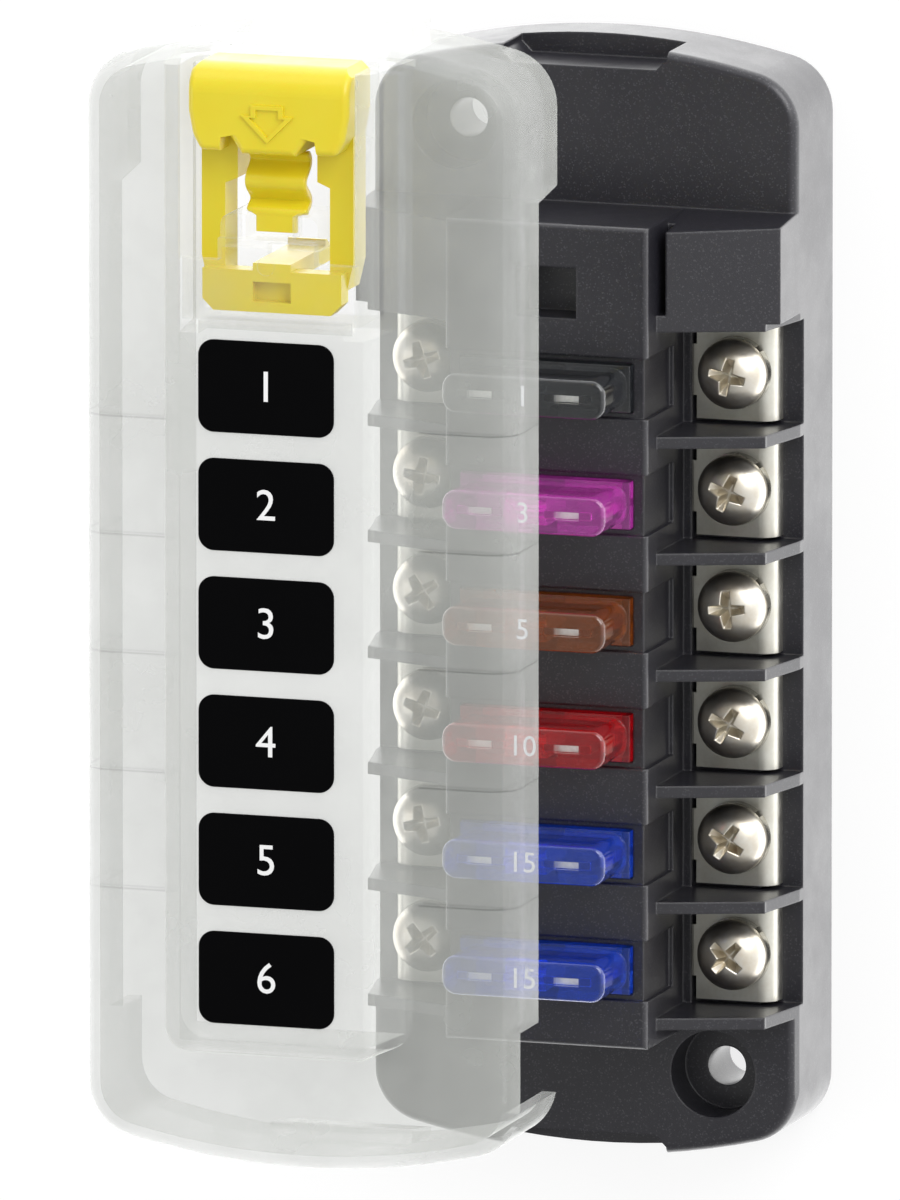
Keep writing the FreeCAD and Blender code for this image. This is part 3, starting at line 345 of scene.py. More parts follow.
@dataclass(frozen=True)
class Finish:
    """What every finish has: a name and a base colour."""

    name: str
    tint: Colour

    def start(self, **values: Any) -> Tuple[Material, Graph, Node]:
        """Makes the material with its surface shader.

        Args:
            values: Fixed values of the shader's sockets, underscores standing for blanks.

        Returns:
            The material, its graph and its shader.
        """
        material = bpy.data.materials.new(self.name)
        material.use_nodes = True
        graph = Graph(material.node_tree)
        shader = material.node_tree.nodes["Principled BSDF"]
        shader.inputs["Base Color"].default_value = self.tint
        for name, value in values.items():
            shader.inputs[name.replace("_", " ")].default_value = value
        return material, graph, shader

    @staticmethod
    def effect(graph: Graph, effect: Effect, **values: float) -> Node:
        """Places a shared effect with its own values.

        Args:
            graph: The material's graph.
            effect: Which effect.
            values: Its input values.

        Returns:
            The group node.
        """
        node = graph.add("ShaderNodeGroup")
        node.node_tree = EFFECTS.group(effect)
        for name, value in values.items():
            node.inputs[name].default_value = value
        return node

    @classmethod
    def cloud(cls, graph: Graph, scale: float, span: Span) -> Socket:
        """Places a soft cloud.

        Args:
            graph: The material's graph.
            scale: How fine it is.
            span: Its lowest and highest value.

        Returns:
            Its value's socket.
        """
        node = cls.effect(graph, Effect.SOFT_CLOUD, Scale=scale, Low=span[0], High=span[1])
        return node.outputs["Value"]

    @staticmethod
    def relief(graph: Graph, shader: Node, height: Socket, depth: float, strength: float,
               edge: float = 0.0) -> None:
        """Raises the surface's shading by a height.

        Args:
            graph: The material's graph.
            shader: The surface shader.
            height: The height, from 0 to 1.
            depth: What 1 stands for, in metres.
            strength: How much of it shows.
            edge: The radius at which sharp edges look rounded, none at 0.
        """
        bump = graph.add("ShaderNodeBump")
        if edge > 0.0:
            graph.rounding(bump, edge)
        bump.inputs["Distance"].default_value = depth
        bump.inputs["Strength"].default_value = strength
        graph.join(height, bump.inputs["Height"])
        graph.join(bump.outputs["Normal"], shader.inputs["Normal"])

    @staticmethod
    def blend(graph: Graph, amount: Socket, first: Colour, second: Colour, shader: Node) -> None:
        """Mixes two colours over the surface into the shader's base colour.

        Args:
            graph: The material's graph.
            amount: 0 for the first colour, 1 for the second.
            first: One colour.
            second: The other.
            shader: The surface shader.
        """
        mix = graph.add("ShaderNodeMix", data_type="RGBA")
        mix.inputs[6].default_value = first
        mix.inputs[7].default_value = second
        graph.join(amount, mix.inputs[0])
        graph.join(mix.outputs[2], shader.inputs["Base Color"])

    def make(self) -> Material:
        """Builds the material."""
        raise NotImplementedError


@dataclass(frozen=True)
class MouldedBlack(Finish):
    """Glass-filled black moulding with a spark-eroded grain and painted glints on rare grain
    cells.
    """

    speck: Colour = colour(160, 162, 166)
    edge_radius: float = 0.35 * MM
    grain_scale: float = 7500.0
    facets: float = 0.10
    grain_depth: float = 0.02 * MM
    grain_strength: float = 0.5
    cloud_scale: float = 70.0
    shine: Span = (0.28, 0.38)

    def make(self) -> Material:
        """Builds the material.

        Returns:
            The finished material.
        """
        material, graph, shader = self.start(Specular_IOR_Level=0.75, IOR=1.5)
        grain = self.effect(graph, Effect.SPARK_GRAIN, Scale=self.grain_scale, Facets=self.facets)
        rough = self.cloud(graph, self.cloud_scale, self.shine)
        # Painted glints: rare grain cells are mixed towards a light grey, standing in for facets
        # that catch the light.
        self.blend(graph, grain.outputs["Facet"], self.tint, self.speck, shader)
        graph.join(rough, shader.inputs["Roughness"])
        self.relief(graph, shader, grain.outputs["Height"], self.grain_depth,
                    self.grain_strength, self.edge_radius)
        return material


@dataclass(frozen=True)
class PlatedMetal(Finish):
    """Plated metal with faint rubbing marks and a slow change in shine."""

    shine: Span
    warm: Colour
    shine_scale: float = 220.0
    rub_scale: float = 900.0
    rub_amount: float = 0.16
    tone_scale: float = 420.0
    grain_scale: float = 2600.0
    grain_depth: float = 0.002 * MM
    grain_strength: float = 0.2

    def make(self) -> Material:
        """Builds the material.

        Returns:
            The finished material.
        """
        material, graph, shader = self.start(Metallic=1.0)
        rough = self.cloud(graph, self.shine_scale, self.shine)
        marks = self.effect(graph, Effect.HANDLING, Scale=self.rub_scale, Amount=self.rub_amount)
        total = graph.maths("ADD", rough, marks.outputs["Value"], clamp=True)
        graph.join(total, shader.inputs["Roughness"])
        tone = self.cloud(graph, self.tone_scale, (0.0, 1.0))
        self.blend(graph, tone, self.tint, self.warm, shader)
        grain = self.effect(graph, Effect.SPARK_GRAIN, Scale=self.grain_scale, Facets=0.0)
        self.relief(graph, shader, grain.outputs["Height"], self.grain_depth, self.grain_strength)
        return material


@dataclass(frozen=True)
class TintedPlastic(Finish):
    """See-through coloured plastic of a fuse body, with a faint painted glow in its own colour."""

    clearness: float = 0.93
    # Painted glow: how strongly the fuse body emits its tint, standing in for light caught inside
    # it.
    glow: float = 0.07
    edge_radius: float = 0.3 * MM
    shine_scale: float = 500.0
    shine: Span = (0.02, 0.10)
    wave_scale: float = 260.0
    wave_depth: float = 0.08 * MM
    wave_strength: float = 0.4

    def make(self) -> Material:
        """Builds the material.

        Returns:
            The finished material.
        """
        material, graph, shader = self.start(
            Transmission_Weight=self.clearness, IOR=1.45, Coat_Weight=1.0, Coat_Roughness=0.05,
            Emission_Strength=self.glow)
        # Painted glow: the tint is emitted as well as let through.
        shader.inputs["Emission Color"].default_value = self.tint
        graph.join(self.cloud(graph, self.shine_scale, self.shine), shader.inputs["Roughness"])
        wave = self.cloud(graph, self.wave_scale, (0.0, 1.0))
        self.relief(graph, shader, wave, self.wave_depth, self.wave_strength, self.edge_radius)
        return material


@dataclass(frozen=True)
class FrostedClear(Finish):
    """Slightly milky clear moulding: tilted walls stay faint, its outlines grow whiter, and a
    painted glow lightens it all over.
    """

    face_on: float = 0.35
    edge_on: float = 0.26
    tilt_span: Span = (0.35, 0.95)
    rim: float = 0.45
    rim_span: Span = (0.80, 0.98)
    # Painted glow: how strongly the cover emits its own tint, lightening it without any lamp.
    glow: float = 0.27
    clear: float = 0.07
    window_middle: float = -3.0 * MM
    window_half: float = 9.6 * MM
    window_side_fade: float = 0.4 * MM
    window_low: float = 46.6 * MM
    window_low_fade: float = 0.6 * MM
    score_start: float = 34.55 * MM
    score_pitch: float = 12.7 * MM
    score_half: float = 0.16 * MM
    score_inner: float = 13.4 * MM
    score_inner_fade: float = 0.2 * MM
    score_middle_row: float = 2.0
    score_rows: Span = (2.4, 2.45)
    score_veil: float = 0.06
    # Painted shade: the darker grey that the scored lines take, standing in for shade in the
    # grooves.
    score_tone: Colour = colour(96, 98, 95)
    score_depth: float = 0.12 * MM
    score_strength: float = 0.8
    drift_scale: float = 45.0
    drift: Span = (-0.05, 0.05)
    shine_scale: float = 160.0
    shine: Span = (0.26, 0.38)

    def make(self) -> Material:
        """Builds the material.

        Its opacity is the frost, moved towards the tilted walls' as the surface turns away,
        with the rim, a slow drift and the scored lines added.

        Returns:
            The finished material.
        """
        material, graph, shader = self.start(
            IOR=1.5, Specular_IOR_Level=0.45, Emission_Strength=self.glow)
        # Painted glow: the cover emits its tint, so the frost looks lit from within.
        shader.inputs["Emission Color"].default_value = self.tint
        material.surface_render_method = "BLENDED"
        split = graph.axes("Object")
        aside = graph.maths(
            "ABSOLUTE", graph.maths("SUBTRACT", split.outputs["X"], self.window_middle))
        weight = graph.add("ShaderNodeLayerWeight")
        weight.inputs["Blend"].default_value = 0.5
        frost = self._frost(graph, split, aside)
        tilt = graph.ramp(weight.outputs["Facing"], *self.tilt_span)
        reach = graph.maths("SUBTRACT", self.edge_on, frost)
        rim = graph.ramp(weight.outputs["Facing"], *self.rim_span, 0.0, self.rim)
        tilted = graph.maths("ADD", frost, graph.maths("MULTIPLY", tilt, reach))
        veil = graph.maths("ADD", tilted, rim)
        drift = self.cloud(graph, self.drift_scale, self.drift)
        score = self._scores(graph, split, aside)
        lines = graph.maths("ADD", drift, graph.maths("MULTIPLY", score, self.score_veil))
        # Painted shade: the scored lines are mixed towards a darker grey and made more opaque,
        # standing in for shade in their grooves.
        self.blend(graph, score, self.tint, self.score_tone, shader)
        graph.join(graph.maths("ADD", veil, lines, clamp=True), shader.inputs["Alpha"])
        self.relief(graph, shader, graph.maths("SUBTRACT", 1.0, score), self.score_depth,
                    self.score_strength)
        graph.join(self.cloud(graph, self.shine_scale, self.shine), shader.inputs["Roughness"])
        return material

    def _frost(self, graph: Graph, split: Node, aside: Socket) -> Socket:
        """The opacity face on, lower in the clear window round the latch.

        Args:
            graph: The material's graph.
            split: The surface's place, by axis.
            aside: How far a point lies from the cover's middle.

        Returns:
            The opacity's socket.
        """
        within = graph.ramp(aside, self.window_half, self.window_half + self.window_side_fade,
                            1.0, 0.0)
        beyond = graph.ramp(split.outputs["Y"], self.window_low,
                            self.window_low + self.window_low_fade)
        window = graph.maths("MULTIPLY", within, beyond)
        cleared = graph.maths("MULTIPLY", window, self.face_on - self.clear)
        return graph.maths("SUBTRACT", self.face_on, cleared)

    def _scores(self, graph: Graph, split: Node, aside: Socket) -> Socket:
        """Thin scored lines across the wings, one between every two circuits.

        Args:
            graph: The material's graph.
            split: The surface's place, by axis.
            aside: How far a point lies from the cover's middle.

        Returns:
            1 on a line and 0 off it.
        """
        along = graph.maths("SUBTRACT", split.outputs["Y"], self.score_start)
        turn = graph.maths("DIVIDE", along, self.score_pitch)
        offset = graph.maths("SUBTRACT", turn, graph.maths("ROUND", turn))
        near = graph.ramp(graph.maths("ABSOLUTE", offset), 0.0,
                          self.score_half / self.score_pitch, 1.0, 0.0)
        row = graph.maths("ABSOLUTE", graph.maths("ADD", turn, self.score_middle_row))
        inner_rows = graph.ramp(row, *self.score_rows, 1.0, 0.0)
        wing = graph.ramp(aside, self.score_inner, self.score_inner + self.score_inner_fade)
        return graph.maths("MULTIPLY", graph.maths("MULTIPLY", near, inner_rows), wing)


@dataclass(frozen=True)
class LatchPlastic(Finish):
    """Bright solid plastic of the latch, smooth with a soft sheen."""

    deep: Colour = colour(228, 206, 26)
    scatter_reach: float = 1.0 * MM
    shine_scale: float = 150.0
    shine: Span = (0.28, 0.4)
    tone_scale: float = 90.0
    tone: Span = (0.0, 0.5)
    grain_scale: float = 2400.0
    grain_depth: float = 0.006 * MM
    grain_strength: float = 0.35

    def make(self) -> Material:
        """Builds the material.

        Returns:
            The finished material.
        """
        material, graph, shader = self.start(
            IOR=1.5, Coat_Weight=0.25, Coat_Roughness=0.2, Subsurface_Weight=0.15,
            Subsurface_Scale=self.scatter_reach)
        graph.join(self.cloud(graph, self.shine_scale, self.shine), shader.inputs["Roughness"])
        tone = self.cloud(graph, self.tone_scale, self.tone)
        self.blend(graph, tone, self.tint, self.deep, shader)
        grain = self.effect(graph, Effect.SPARK_GRAIN, Scale=self.grain_scale, Facets=0.0)
        self.relief(graph, shader, grain.outputs["Height"], self.grain_depth, self.grain_strength)
        return material


@dataclass(frozen=True)
class PrintedFilm(Finish):
    """Smooth printed film or ink."""

    shine: float
    gloss: float = 0.5
    shine_change: float = 0.08
    shine_scale: float = 120.0
    grain_scale: float = 1500.0
    grain_depth: float = 0.003 * MM
    grain_strength: float = 0.2

    def make(self) -> Material:
        """Builds the material.

        Returns:
            The finished material.
        """
        material, graph, shader = self.start(IOR=1.5, Specular_IOR_Level=self.gloss)
        rough = self.cloud(graph, self.shine_scale, (self.shine, self.shine + self.shine_change))
        graph.join(rough, shader.inputs["Roughness"])
        grain = self.effect(graph, Effect.SPARK_GRAIN, Scale=self.grain_scale, Facets=0.0)
        self.relief(graph, shader, grain.outputs["Height"], self.grain_depth, self.grain_strength)
        return material


# Meshes


def add_piece(name: str, data: Any) -> Piece:
    """Puts new data into the scene as an object.

    Args:
        name: The object's name.
        data: Its mesh, curve, light or camera.

    Returns:
        The object.
    """
    piece = bpy.data.objects.new(name, data)
    bpy.context.collection.objects.link(piece)
    return piece


def tube_piece(name: str, rings: Array, material: Material, sharp: Sequence[int] = ()) -> Piece:
    """A closed, smooth-shaded mesh from rings of points, with flat caps.

    Each point is joined to the next one round its ring and to the same step of the next
    ring, and the first and last rings are closed by one face each.

    Args:
        name: The piece's name.
        rings: Points by ring, step round the ring and axis.
        material: Its finish.
        sharp: Which rings are hard corners.

    Returns:
        The piece.
    """
    count, steps, _ = rings.shape
    grid = np.arange(count * steps).reshape(count, steps)
    after = np.roll(grid, -1, axis=1)
    quads = np.stack([grid[:-1], after[:-1], after[1:], grid[1:]], axis=-1).reshape(-1, 4)
    faces = quads.tolist() + [grid[0][::-1].tolist(), grid[-1].tolist()]
    mesh = bpy.data.meshes.new(name)
    mesh.from_pydata(rings.reshape(-1, 3).tolist(), [], faces)
    for polygon in mesh.polygons:
        polygon.use_smooth = len(polygon.vertices) == 4
    hard = {index for ring in sharp for index in grid[ring].tolist()}
    for edge in mesh.edges:
        edge.use_edge_sharp = edge.vertices[0] in hard and edge.vertices[1] in hard
    mesh.materials.append(material)
    LOG.info("made %s with %d faces", name, len(faces))
    return add_piece(name, mesh)


def dress(node: str, material: Material) -> None:
    """Gives a CAD node its material.

    Args:
        node: The node's name.
        material: What its surface shows.
    """
    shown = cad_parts[node]
    shown.data.materials.clear()
    shown.data.materials.append(material)
    LOG.info("dressed %s in %s", node, material.name)


def middle(node: str) -> Vector:
    """The centre of a CAD node's box."""
    low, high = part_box(node)
    return (Vector(low) + Vector(high)) / 2


def top_middle(node: str) -> Vector:
    """The middle of the top side of a CAD node's box."""
    centre = middle(node)
    return Vector((centre.x, centre.y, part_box(node)[1][2]))


@dataclass(frozen=True)
class Digits:
    """Raised digits of one size, made a mesh before they are put in their place."""

    height: float
    rise: float
    height_share: float = 0.72
    curve_steps: int = 4

    def build(self, name: str, text: str, place: Vector, material: Material, body: str,
              slot: str) -> Piece:
        """Builds one number as a thin solid.

        Args:
            name: The piece's name.
            text: The digits.
            place: The middle of its lower face.
            material: Its finish.
            body: The body it rides on.
            slot: The record's material slot; not used.

        Returns:
            The piece.
        """
        curve = bpy.data.curves.new(name + "_curve", "FONT")
        curve.body = text
        curve.align_x = "CENTER"
        curve.align_y = "CENTER"
        curve.size = self.height / self.height_share
        curve.extrude = self.rise / 2
        curve.resolution_u = self.curve_steps
        draft = add_piece(name + "_draft", curve)
        bpy.context.view_layer.update()
        mesh = bpy.data.meshes.new_from_object(draft)
        bpy.data.objects.remove(draft)
        mesh.transform(Matrix.Translation(place + Vector((0.0, 0.0, self.rise / 2))))
        mesh.materials.clear()
        mesh.materials.append(material)
        piece = add_piece(name, mesh)
        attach(piece, body)
        LOG.info("raised %s as %s", text, name)
        return piece


# The object's parts


@dataclass
class BaseHousing:
    """The black moulded base."""

    plastic: MouldedBlack = MouldedBlack("moulded_black", colour(31, 30, 37))

    def build(self) -> None:
        """Dresses the base."""
        dress("base_housing", self.plastic.make())


@dataclass
class PanScrew:
    """A pan head screw with a sloped cross-shaped recess, made as rings round its axis."""

    shank_radius: float = 2.08 * MM
    tip_chamfer: float = 0.7 * MM
    head_height: float = 2.9 * MM
    under_play: float = 0.03 * MM
    rim_height: float = 0.25 * MM
    arm_half: float = 0.68 * MM
    arm_narrowing: float = 0.12
    arm_reach: float = 2.05 * MM
    recess_depth: float = 1.7 * MM
    wall_slope: float = 3.2
    end_slope: float = 1.5
    steps: int = 144
    dome_rings: int = 60
    dome_share: float = 0.995

    def recess(self, radius: Array, angle: Array) -> Array:
        """How deep the recess is.

        A point is measured along and across the nearest arm of the cross. The depth is the
        distance to the arm's side times one slope or to its end times another, whichever is
        less, from nothing to the full depth.

        Args:
            radius: Distance from the axis.
            angle: Turn round the axis, from one arm.

        Returns:
            The depth at each point.
        """
        quarter = math.pi / 2
        near = np.abs((angle + quarter / 2) % quarter - quarter / 2)
        along = radius * np.cos(near)
        aside = radius * np.sin(near)
        half = self.arm_half - self.arm_narrowing * along
        wall = (half - aside) * self.wall_slope
        end = (self.arm_reach - along) * self.end_slope
        return np.clip(np.minimum(wall, end), 0.0, self.recess_depth)

    def build(self, name: str, low: Vector, high: Vector, turn: float,
              material: Material) -> Piece:
        """Builds one screw.

        The stem and a quarter of an ellipse for the dome are carried round the axis, and
        the recess is taken off the dome's height.

        Args:
            name: The piece's name.
            low: Lowest corner of the CAD screw's box.
            high: Highest corner of it.
            turn: How far its recess is turned, in degrees.
            material: Its finish.

        Returns:
            The piece.
        """
        head = (high.x - low.x) / 2
        under = high.z - self.head_height + self.under_play
        crown = self.head_height - self.rim_height
        stem = [(self.shank_radius - self.tip_chamfer / 2, low.z),
                (self.shank_radius, low.z + self.tip_chamfer),
                (self.shank_radius, under), (head, under)]
        rise = math.pi / 2 * (np.linspace(0.0, 1.0, self.dome_rings) * self.dome_share)
        dome = np.stack([head * np.cos(rise), high.z - crown + crown * np.sin(rise)], axis=1)
        profile = np.concatenate([np.array(stem), dome])
        around = np.linspace(0.0, 2 * math.pi, self.steps, endpoint=False)
        rings = np.empty((len(profile), self.steps, 3))
        rings[:, :, 0] = (low.x + high.x) / 2 + profile[:, None, 0] * np.cos(around)[None, :]
        rings[:, :, 1] = (low.y + high.y) / 2 + profile[:, None, 0] * np.sin(around)[None, :]
        rings[:, :, 2] = profile[:, None, 1]
        top = slice(len(stem), None)
        radius = np.repeat(profile[top, 0][:, None], self.steps, axis=1)
        rings[top, :, 2] -= self.recess(radius, around[None, :] - math.radians(turn))
        return tube_piece(name, rings, material, range(1, len(stem) + 1))


@dataclass
class Terminals:
    """Contact strips, lock washers and screws down both sides.

    The turns are those of the screws' recesses, in degrees, from the first circuit on.
    """

    tin: PlatedMetal = PlatedMetal(
        "tin_plate", colour(214, 213, 204), (0.34, 0.46), colour(204, 201, 190))
    nickel: PlatedMetal = PlatedMetal(
        "nickel_plate", colour(226, 222, 212), (0.30, 0.40), colour(216, 207, 190))
    spring_steel: PlatedMetal = PlatedMetal(
        "spring_steel", colour(190, 188, 182), (0.18, 0.3), colour(170, 166, 156))
    screw: PanScrew = field(default_factory=PanScrew)
    turns: Dict[str, Tuple[int, ...]] = field(default_factory=lambda: {
        "left": (18, -8, 33, -19, 12, 40), "right": (-12, -22, 4, -28, -32, -42)})

    def build(self) -> None:
        """Dresses every terminal."""
        tin = self.tin.make()
        nickel = self.nickel.make()
        steel = self.spring_steel.make()
        for number in range(1, CIRCUITS + 1):
            for side in SIDES:
                dress(f"terminal_clip_{side}_{number}", tin)
                screw = f"terminal_screw_{side}_{number}"
                dress(screw, nickel)
                low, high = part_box(screw)
                piece = self.screw.build(f"pan_{side}_{number}", Vector(low), Vector(high),
                                         self.turns[side][number - 1], nickel)
                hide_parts(screw)
                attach(piece, f"screw_{side}_{number}")
                dress(f"lock_washer_{side}_{number}", steel)


@dataclass
class Fuses:
    """The row of plug-in fuses and the ratings on their tops."""

    ratings: Tuple[str, ...] = ("1", "3", "5", "10", "15", "15")
    shades: Tuple[str, ...] = ("smoke", "violet", "tan", "red", "blue", "blue")
    tints: Dict[str, Colour] = field(default_factory=lambda: {
        "smoke": colour(84, 87, 92), "violet": colour(246, 104, 230),
        "tan": colour(182, 104, 46), "red": colour(226, 30, 46), "blue": colour(56, 108, 240)})
    element: PlatedMetal = PlatedMetal(
        "fuse_zinc", colour(246, 246, 244), (0.46, 0.60), colour(222, 222, 220))
    ink: PrintedFilm = PrintedFilm("rating_ink", colour(196, 198, 206), 0.3)
    digits: Digits = Digits(2.3 * MM, 0.06 * MM)

    def build(self) -> None:
        """Dresses each fuse and prints its rating."""
        metal = self.element.make()
        ink = self.ink.make()
        plastics = {shade: TintedPlastic(f"fuse_{shade}", tint).make()
                    for shade, tint in self.tints.items()}
        for index, (shade, rating) in enumerate(zip(self.shades, self.ratings)):
            number = index + 1
            node = f"fuse_body_{number}"
            dress(node, plastics[shade])
            dress(f"fuse_element_{number}", metal)
            self.digits.build(f"rating_{number}", rating, top_middle(node), ink,
                              f"fuse_{number}", f"fuse_{shade}")


@dataclass
class Cover:
    """The clear cover with its circuit labels."""

    shell: FrostedClear = FrostedClear("cover_clear", colour(190, 192, 188))
    film: PrintedFilm = PrintedFilm("label_film", colour(3, 3, 4), 0.45, 0.05)
    ink: PrintedFilm = PrintedFilm("label_ink", colour(244, 244, 244), 0.4)
    digits: Digits = Digits(3.4 * MM, 0.04 * MM)

    def build(self) -> None:
        """Dresses the cover and its labels and prints the circuit numbers."""
        dress("cover_shell", self.shell.make())
        film = self.film.make()
        ink = self.ink.make()
        for number in range(1, CIRCUITS + 1):
            node = f"circuit_label_{number}"
            dress(node, film)
            self.digits.build(f"circuit_number_{number}", str(number), top_middle(node), ink,
                              "cover", "label_black")


@dataclass
class SpringWave:
    """The latch's leaf spring as one smooth wave that narrows into its tongue."""

    low: Vector
    high: Vector
    tongue_half: float = 2.25 * MM
    tongue_length: float = 2.15 * MM
    narrowing: float = 0.5 * MM
    thickness: float = 0.9 * MM
    edge_radius: float = 0.22 * MM
    folds: int = 3
    settle_start: float = 0.45
    settle_length: float = 0.7
    stations: int = 150
    corner_steps: int = 4

    def path(self) -> Array:
        """The middle line from the pad to the tongue's end.

        The height is a sine of the way along, one half wave to a fold, and near the tongue
        an S-curve brings it to the tongue's level.

        Returns:
            Rows of Y and Z.
        """
        half = self.thickness / 2
        mid_z = (self.low.z + self.high.z) / 2
        swing = (self.high.z - self.low.z) / 2 - half
        tongue_start = self.low.y + self.tongue_length
        fold = (self.high.y - tongue_start) / self.folds
        along = np.linspace(self.high.y, self.low.y, self.stations)
        wave = mid_z - swing * np.sin(np.pi * (self.high.y - along) / fold)
        start = tongue_start + fold * self.settle_start
        settle = smooth(np.clip((start - along) / (fold * self.settle_length), 0.0, 1.0))
        return np.stack([along, wave * (1.0 - settle) + (mid_z + half) * settle], axis=1)

    def section(self) -> Array:
        """The rounded section of the strip: four quarter turns, each at its own corner.

        Returns:
            Rows of the corner's two signs and the step's cosine and sine.
        """
        turns = []
        for quarter, (side, rise) in enumerate(((1, 1), (-1, 1), (-1, -1), (1, -1))):
            for step in range(self.corner_steps + 1):
                angle = math.pi / 2 * (quarter + step / self.corner_steps)
                turns.append((side, rise, math.cos(angle), math.sin(angle)))
        return np.array(turns)

    def build(self, material: Material) -> Piece:
        """Builds the wave as a closed mesh.

        The section is carried along the middle line, square to it, and an S-curve takes its
        half width from the strip's to the tongue's.

        Args:
            material: Its finish.

        Returns:
            The piece.
        """
        line = self.path()
        run = np.gradient(line, axis=0)
        run /= np.linalg.norm(run, axis=1)[:, None]
        normal = np.stack([-run[:, 1], run[:, 0]], axis=1)
        normal *= np.sign(normal[:, 1])[:, None]
        centre_x = (self.low.x + self.high.x) / 2
        wide = (self.high.x - self.low.x) / 2
        reach = self.low.y + self.tongue_length - line[:, 0]
        narrow = smooth(np.clip(reach / self.narrowing, 0.0, 1.0))
        half_x = wide + (self.tongue_half - wide) * narrow
        ring = self.section()
        radius = self.edge_radius
        flat = self.thickness / 2 - radius
        lift = ring[:, 1] * flat + ring[:, 3] * radius
        along = line[:, None, 0] + normal[:, None, 0] * lift[None, :]
        points = np.empty((len(line), len(ring), 3))
        points[:, :, 0] = (centre_x + ring[None, :, 0] * (half_x[:, None] - radius)
                           + ring[None, :, 2] * radius)
        points[:, :, 1] = np.clip(along, self.low.y, self.high.y)
        points[:, :, 2] = line[:, None, 1] + normal[:, None, 1] * lift[None, :]
        return tube_piece("latch_spring_wave", points, material)


@dataclass
class Latch:
    """The yellow latch with its moulded spring."""

    plastic: LatchPlastic = LatchPlastic("latch_yellow", colour(230, 212, 44))
    travel: float = 2.4 * MM

    def build(self) -> None:
        """Dresses the latch and gives it a smooth spring."""
        material = self.plastic.make()
        dress("latch_slider", material)
        dress("latch_spring", material)
        low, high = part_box("latch_spring")
        spring = SpringWave(Vector(low), Vector(high)).build(material)
        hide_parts("latch_spring")
        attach(spring, "cover")
        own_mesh(spring)


# The studio


@dataclass(frozen=True)
class Lamp:
    """One soft area lamp."""

    name: str
    direction: Place
    distance: float
    width: float
    power: float

    def hang(self, target: Vector) -> None:
        """Hangs the lamp so that it faces the target.

        Args:
            target: What it lights.
        """
        light = bpy.data.lights.new(self.name, "AREA")
        light.shape = "SQUARE"
        light.size = self.width
        light.energy = self.power
        lamp = add_piece(self.name, light)
        offset = Vector(self.direction).normalized() * self.distance
        lamp.location = target + offset
        lamp.rotation_euler = offset.to_track_quat("Z", "Y").to_euler()


@dataclass(frozen=True)
class FloorWhite:
    """A floor finish that looks white to the eye and still takes the shadow."""

    paint: Colour = colour(240, 240, 240)
    roughness: float = 0.9
    glow: float = 1.1
    glow_in_gloss: float = 1.9
    glow_share: float = 0.75

    def make(self) -> Material:
        """Builds the material.

        Returns:
            The finished material.
        """
        material = bpy.data.materials.new("floor_white")
        material.use_nodes = True
        graph = Graph(material.node_tree)
        shader = material.node_tree.nodes["Principled BSDF"]
        shader.inputs["Base Color"].default_value = self.paint
        shader.inputs["Roughness"].default_value = self.roughness
        glow = graph.add("ShaderNodeEmission")
        path = graph.add("ShaderNodeLightPath")
        extra = graph.maths("MULTIPLY", path.outputs["Is Glossy Ray"], self.glow_in_gloss)
        graph.join(graph.maths("ADD", extra, self.glow), glow.inputs["Strength"])
        mix = graph.add("ShaderNodeMixShader")
        first = graph.maths("MAXIMUM", path.outputs["Is Camera Ray"],
                            path.outputs["Is Glossy Ray"])
        seen = graph.maths("MAXIMUM", first, path.outputs["Is Transmission Ray"])
        graph.join(graph.maths("MULTIPLY", seen, self.glow_share), mix.inputs["Fac"])
        graph.join(shader.outputs["BSDF"], mix.inputs[1])
        graph.join(glow.outputs["Emission"], mix.inputs[2])
        output = material.node_tree.nodes["Material Output"]
        graph.join(mix.outputs["Shader"], output.inputs["Surface"])
        return material


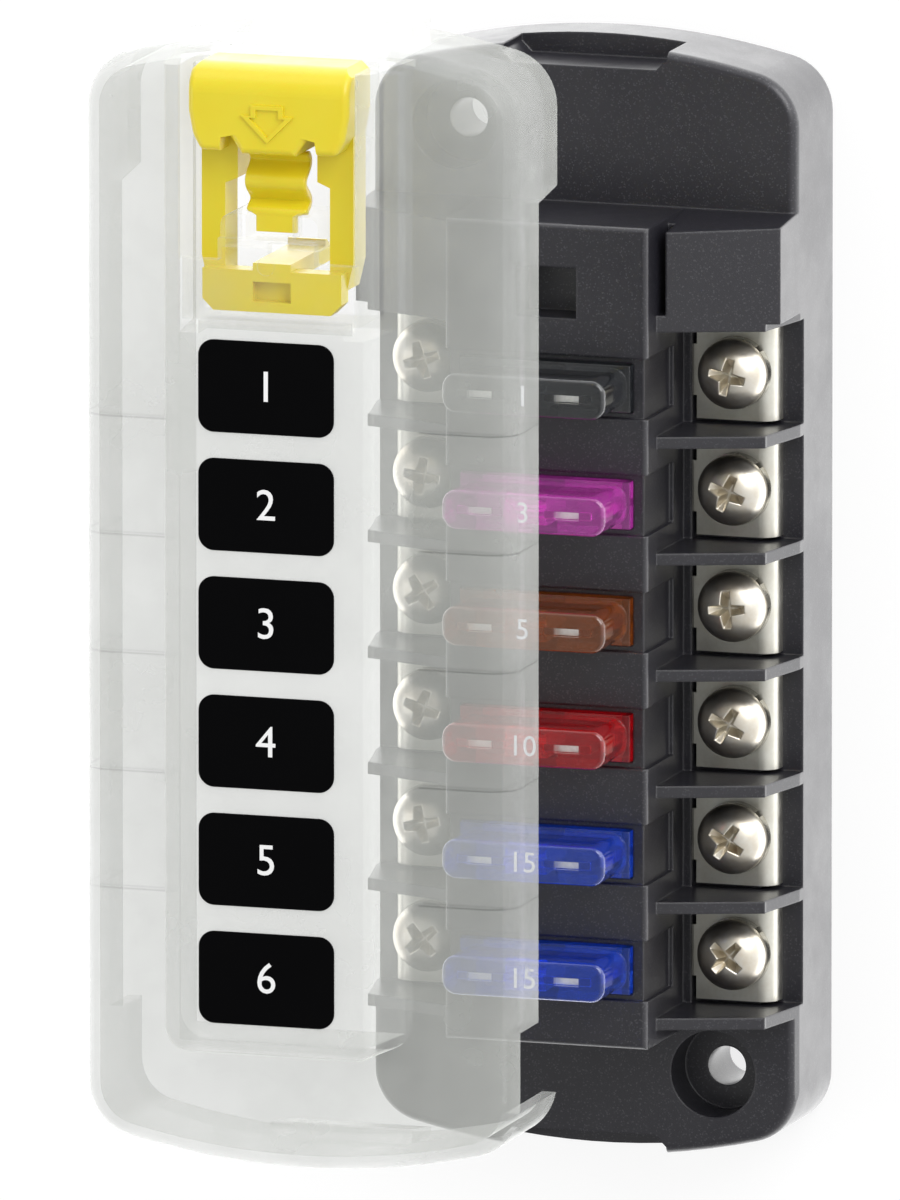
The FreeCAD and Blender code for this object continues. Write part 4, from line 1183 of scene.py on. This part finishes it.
@dataclass
class Studio:
    """A plain pale floor, soft light and the camera at the photograph's angle.

    The room's brightness in gloss changes along three directions. Each of them is given by
    where the change starts and ends and by what the brightness is at both.
    """

    floor_half: float = 3.0
    floor_finish: FloorWhite = FloorWhite()
    plain_light: float = 0.62
    sideways: Tuple[float, ...] = (-0.6, 0.9, 0.5, 1.3)
    upward: Tuple[float, ...] = (0.25, 0.95, 0.0, 0.22)
    lengthways: Tuple[float, ...] = (-0.5, 0.6, 0.8, 1.1)
    lamp_target: Place = (0.0, 0.0, 0.03)
    lamps: Tuple[Lamp, ...] = (
        Lamp("key_lamp", (0.60, 0.62, 0.55), 0.60, 0.40, 2.0),
        Lamp("fill_lamp", (-0.8, -0.1, 0.7), 0.70, 0.45, 0.8),
        Lamp("top_lamp", (-0.25, 0.85, 0.42), 0.60, 0.35, 0.3),
    )
    look_at: Place = (-0.0155, -0.0009, 0.013)
    right: Place = (0.952, 0.0, -0.306)
    toward: Place = (0.301, 0.183, 0.936)
    distance: float = 5.0
    view_height: float = 0.1292
    sensor_height: float = 24.0
    sensor_width: float = 30.0
    clip_end: float = 100.0

    def build(self) -> None:
        """Sets up floor, world, lamps and camera."""
        self._floor()
        self._world()
        for lamp in self.lamps:
            lamp.hang(Vector(self.lamp_target))
        self._camera()
        bpy.context.scene.view_settings.view_transform = "Standard"

    def _floor(self) -> None:
        """A square floor at the height of the base's back."""
        edge = self.floor_half
        corners = [(-edge, -edge, 0), (edge, -edge, 0), (edge, edge, 0), (-edge, edge, 0)]
        mesh = bpy.data.meshes.new("floor")
        mesh.from_pydata(corners, [], [(0, 1, 2, 3)])
        mesh.materials.append(self.floor_finish.make())
        add_piece("floor", mesh)

    def _world(self) -> None:
        """A white room that lights the object evenly, with brighter and darker sides in gloss."""
        world = bpy.data.worlds.new("studio_world")
        bpy.context.scene.world = world
        world.use_nodes = True
        graph = Graph(world.node_tree)
        back = world.node_tree.nodes["Background"]
        back.inputs["Color"].default_value = (1.0, 1.0, 1.0, 1.0)
        split = graph.axes("Generated")
        sideways = graph.ramp(split.outputs["X"], *self.sideways)
        upward = graph.ramp(split.outputs["Z"], *self.upward)
        lengthways = graph.ramp(split.outputs["Y"], *self.lengthways)
        bright = graph.maths("MULTIPLY", graph.maths("SUBTRACT", sideways, upward), lengthways)
        path = graph.add("ShaderNodeLightPath")
        gloss = graph.add("ShaderNodeMix", data_type="FLOAT")
        gloss.inputs[2].default_value = self.plain_light
        graph.join(path.outputs["Is Glossy Ray"], gloss.inputs[0])
        graph.join(bright, gloss.inputs[3])
        shown = graph.add("ShaderNodeMix", data_type="FLOAT")
        graph.join(path.outputs["Is Camera Ray"], shown.inputs[0])
        graph.join(gloss.outputs[0], shown.inputs[2])
        shown.inputs[3].default_value = 1.0
        graph.join(shown.outputs[0], back.inputs["Strength"])

    def _camera(self) -> None:
        """A long lens far away, turned as the photograph's camera was."""
        data = bpy.data.cameras.new("camera")
        data.sensor_fit = "VERTICAL"
        data.sensor_height = self.sensor_height
        data.sensor_width = self.sensor_width
        data.lens = self.sensor_height * self.distance / self.view_height
        data.clip_end = self.clip_end
        camera = add_piece("camera", data)
        away = Vector(self.toward).normalized()
        side = Vector(self.right).normalized()
        upward = away.cross(side).normalized()
        turn = Matrix((side, upward, away)).transposed().to_4x4()
        place = Vector(self.look_at) + away * self.distance
        camera.matrix_world = Matrix.Translation(place) @ turn
        bpy.context.scene.camera = camera


def main() -> None:
    """Builds the parts in order, then the studio."""
    logging.basicConfig(level=logging.INFO, format="%(name)s: %(message)s")
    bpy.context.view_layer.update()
    for part in (BaseHousing(), Terminals(), Fuses(), Cover(), Latch()):
        part.build()
        LOG.info("built %s", type(part).__name__)
    Studio().build()


if __name__ == "__main__":
    main()
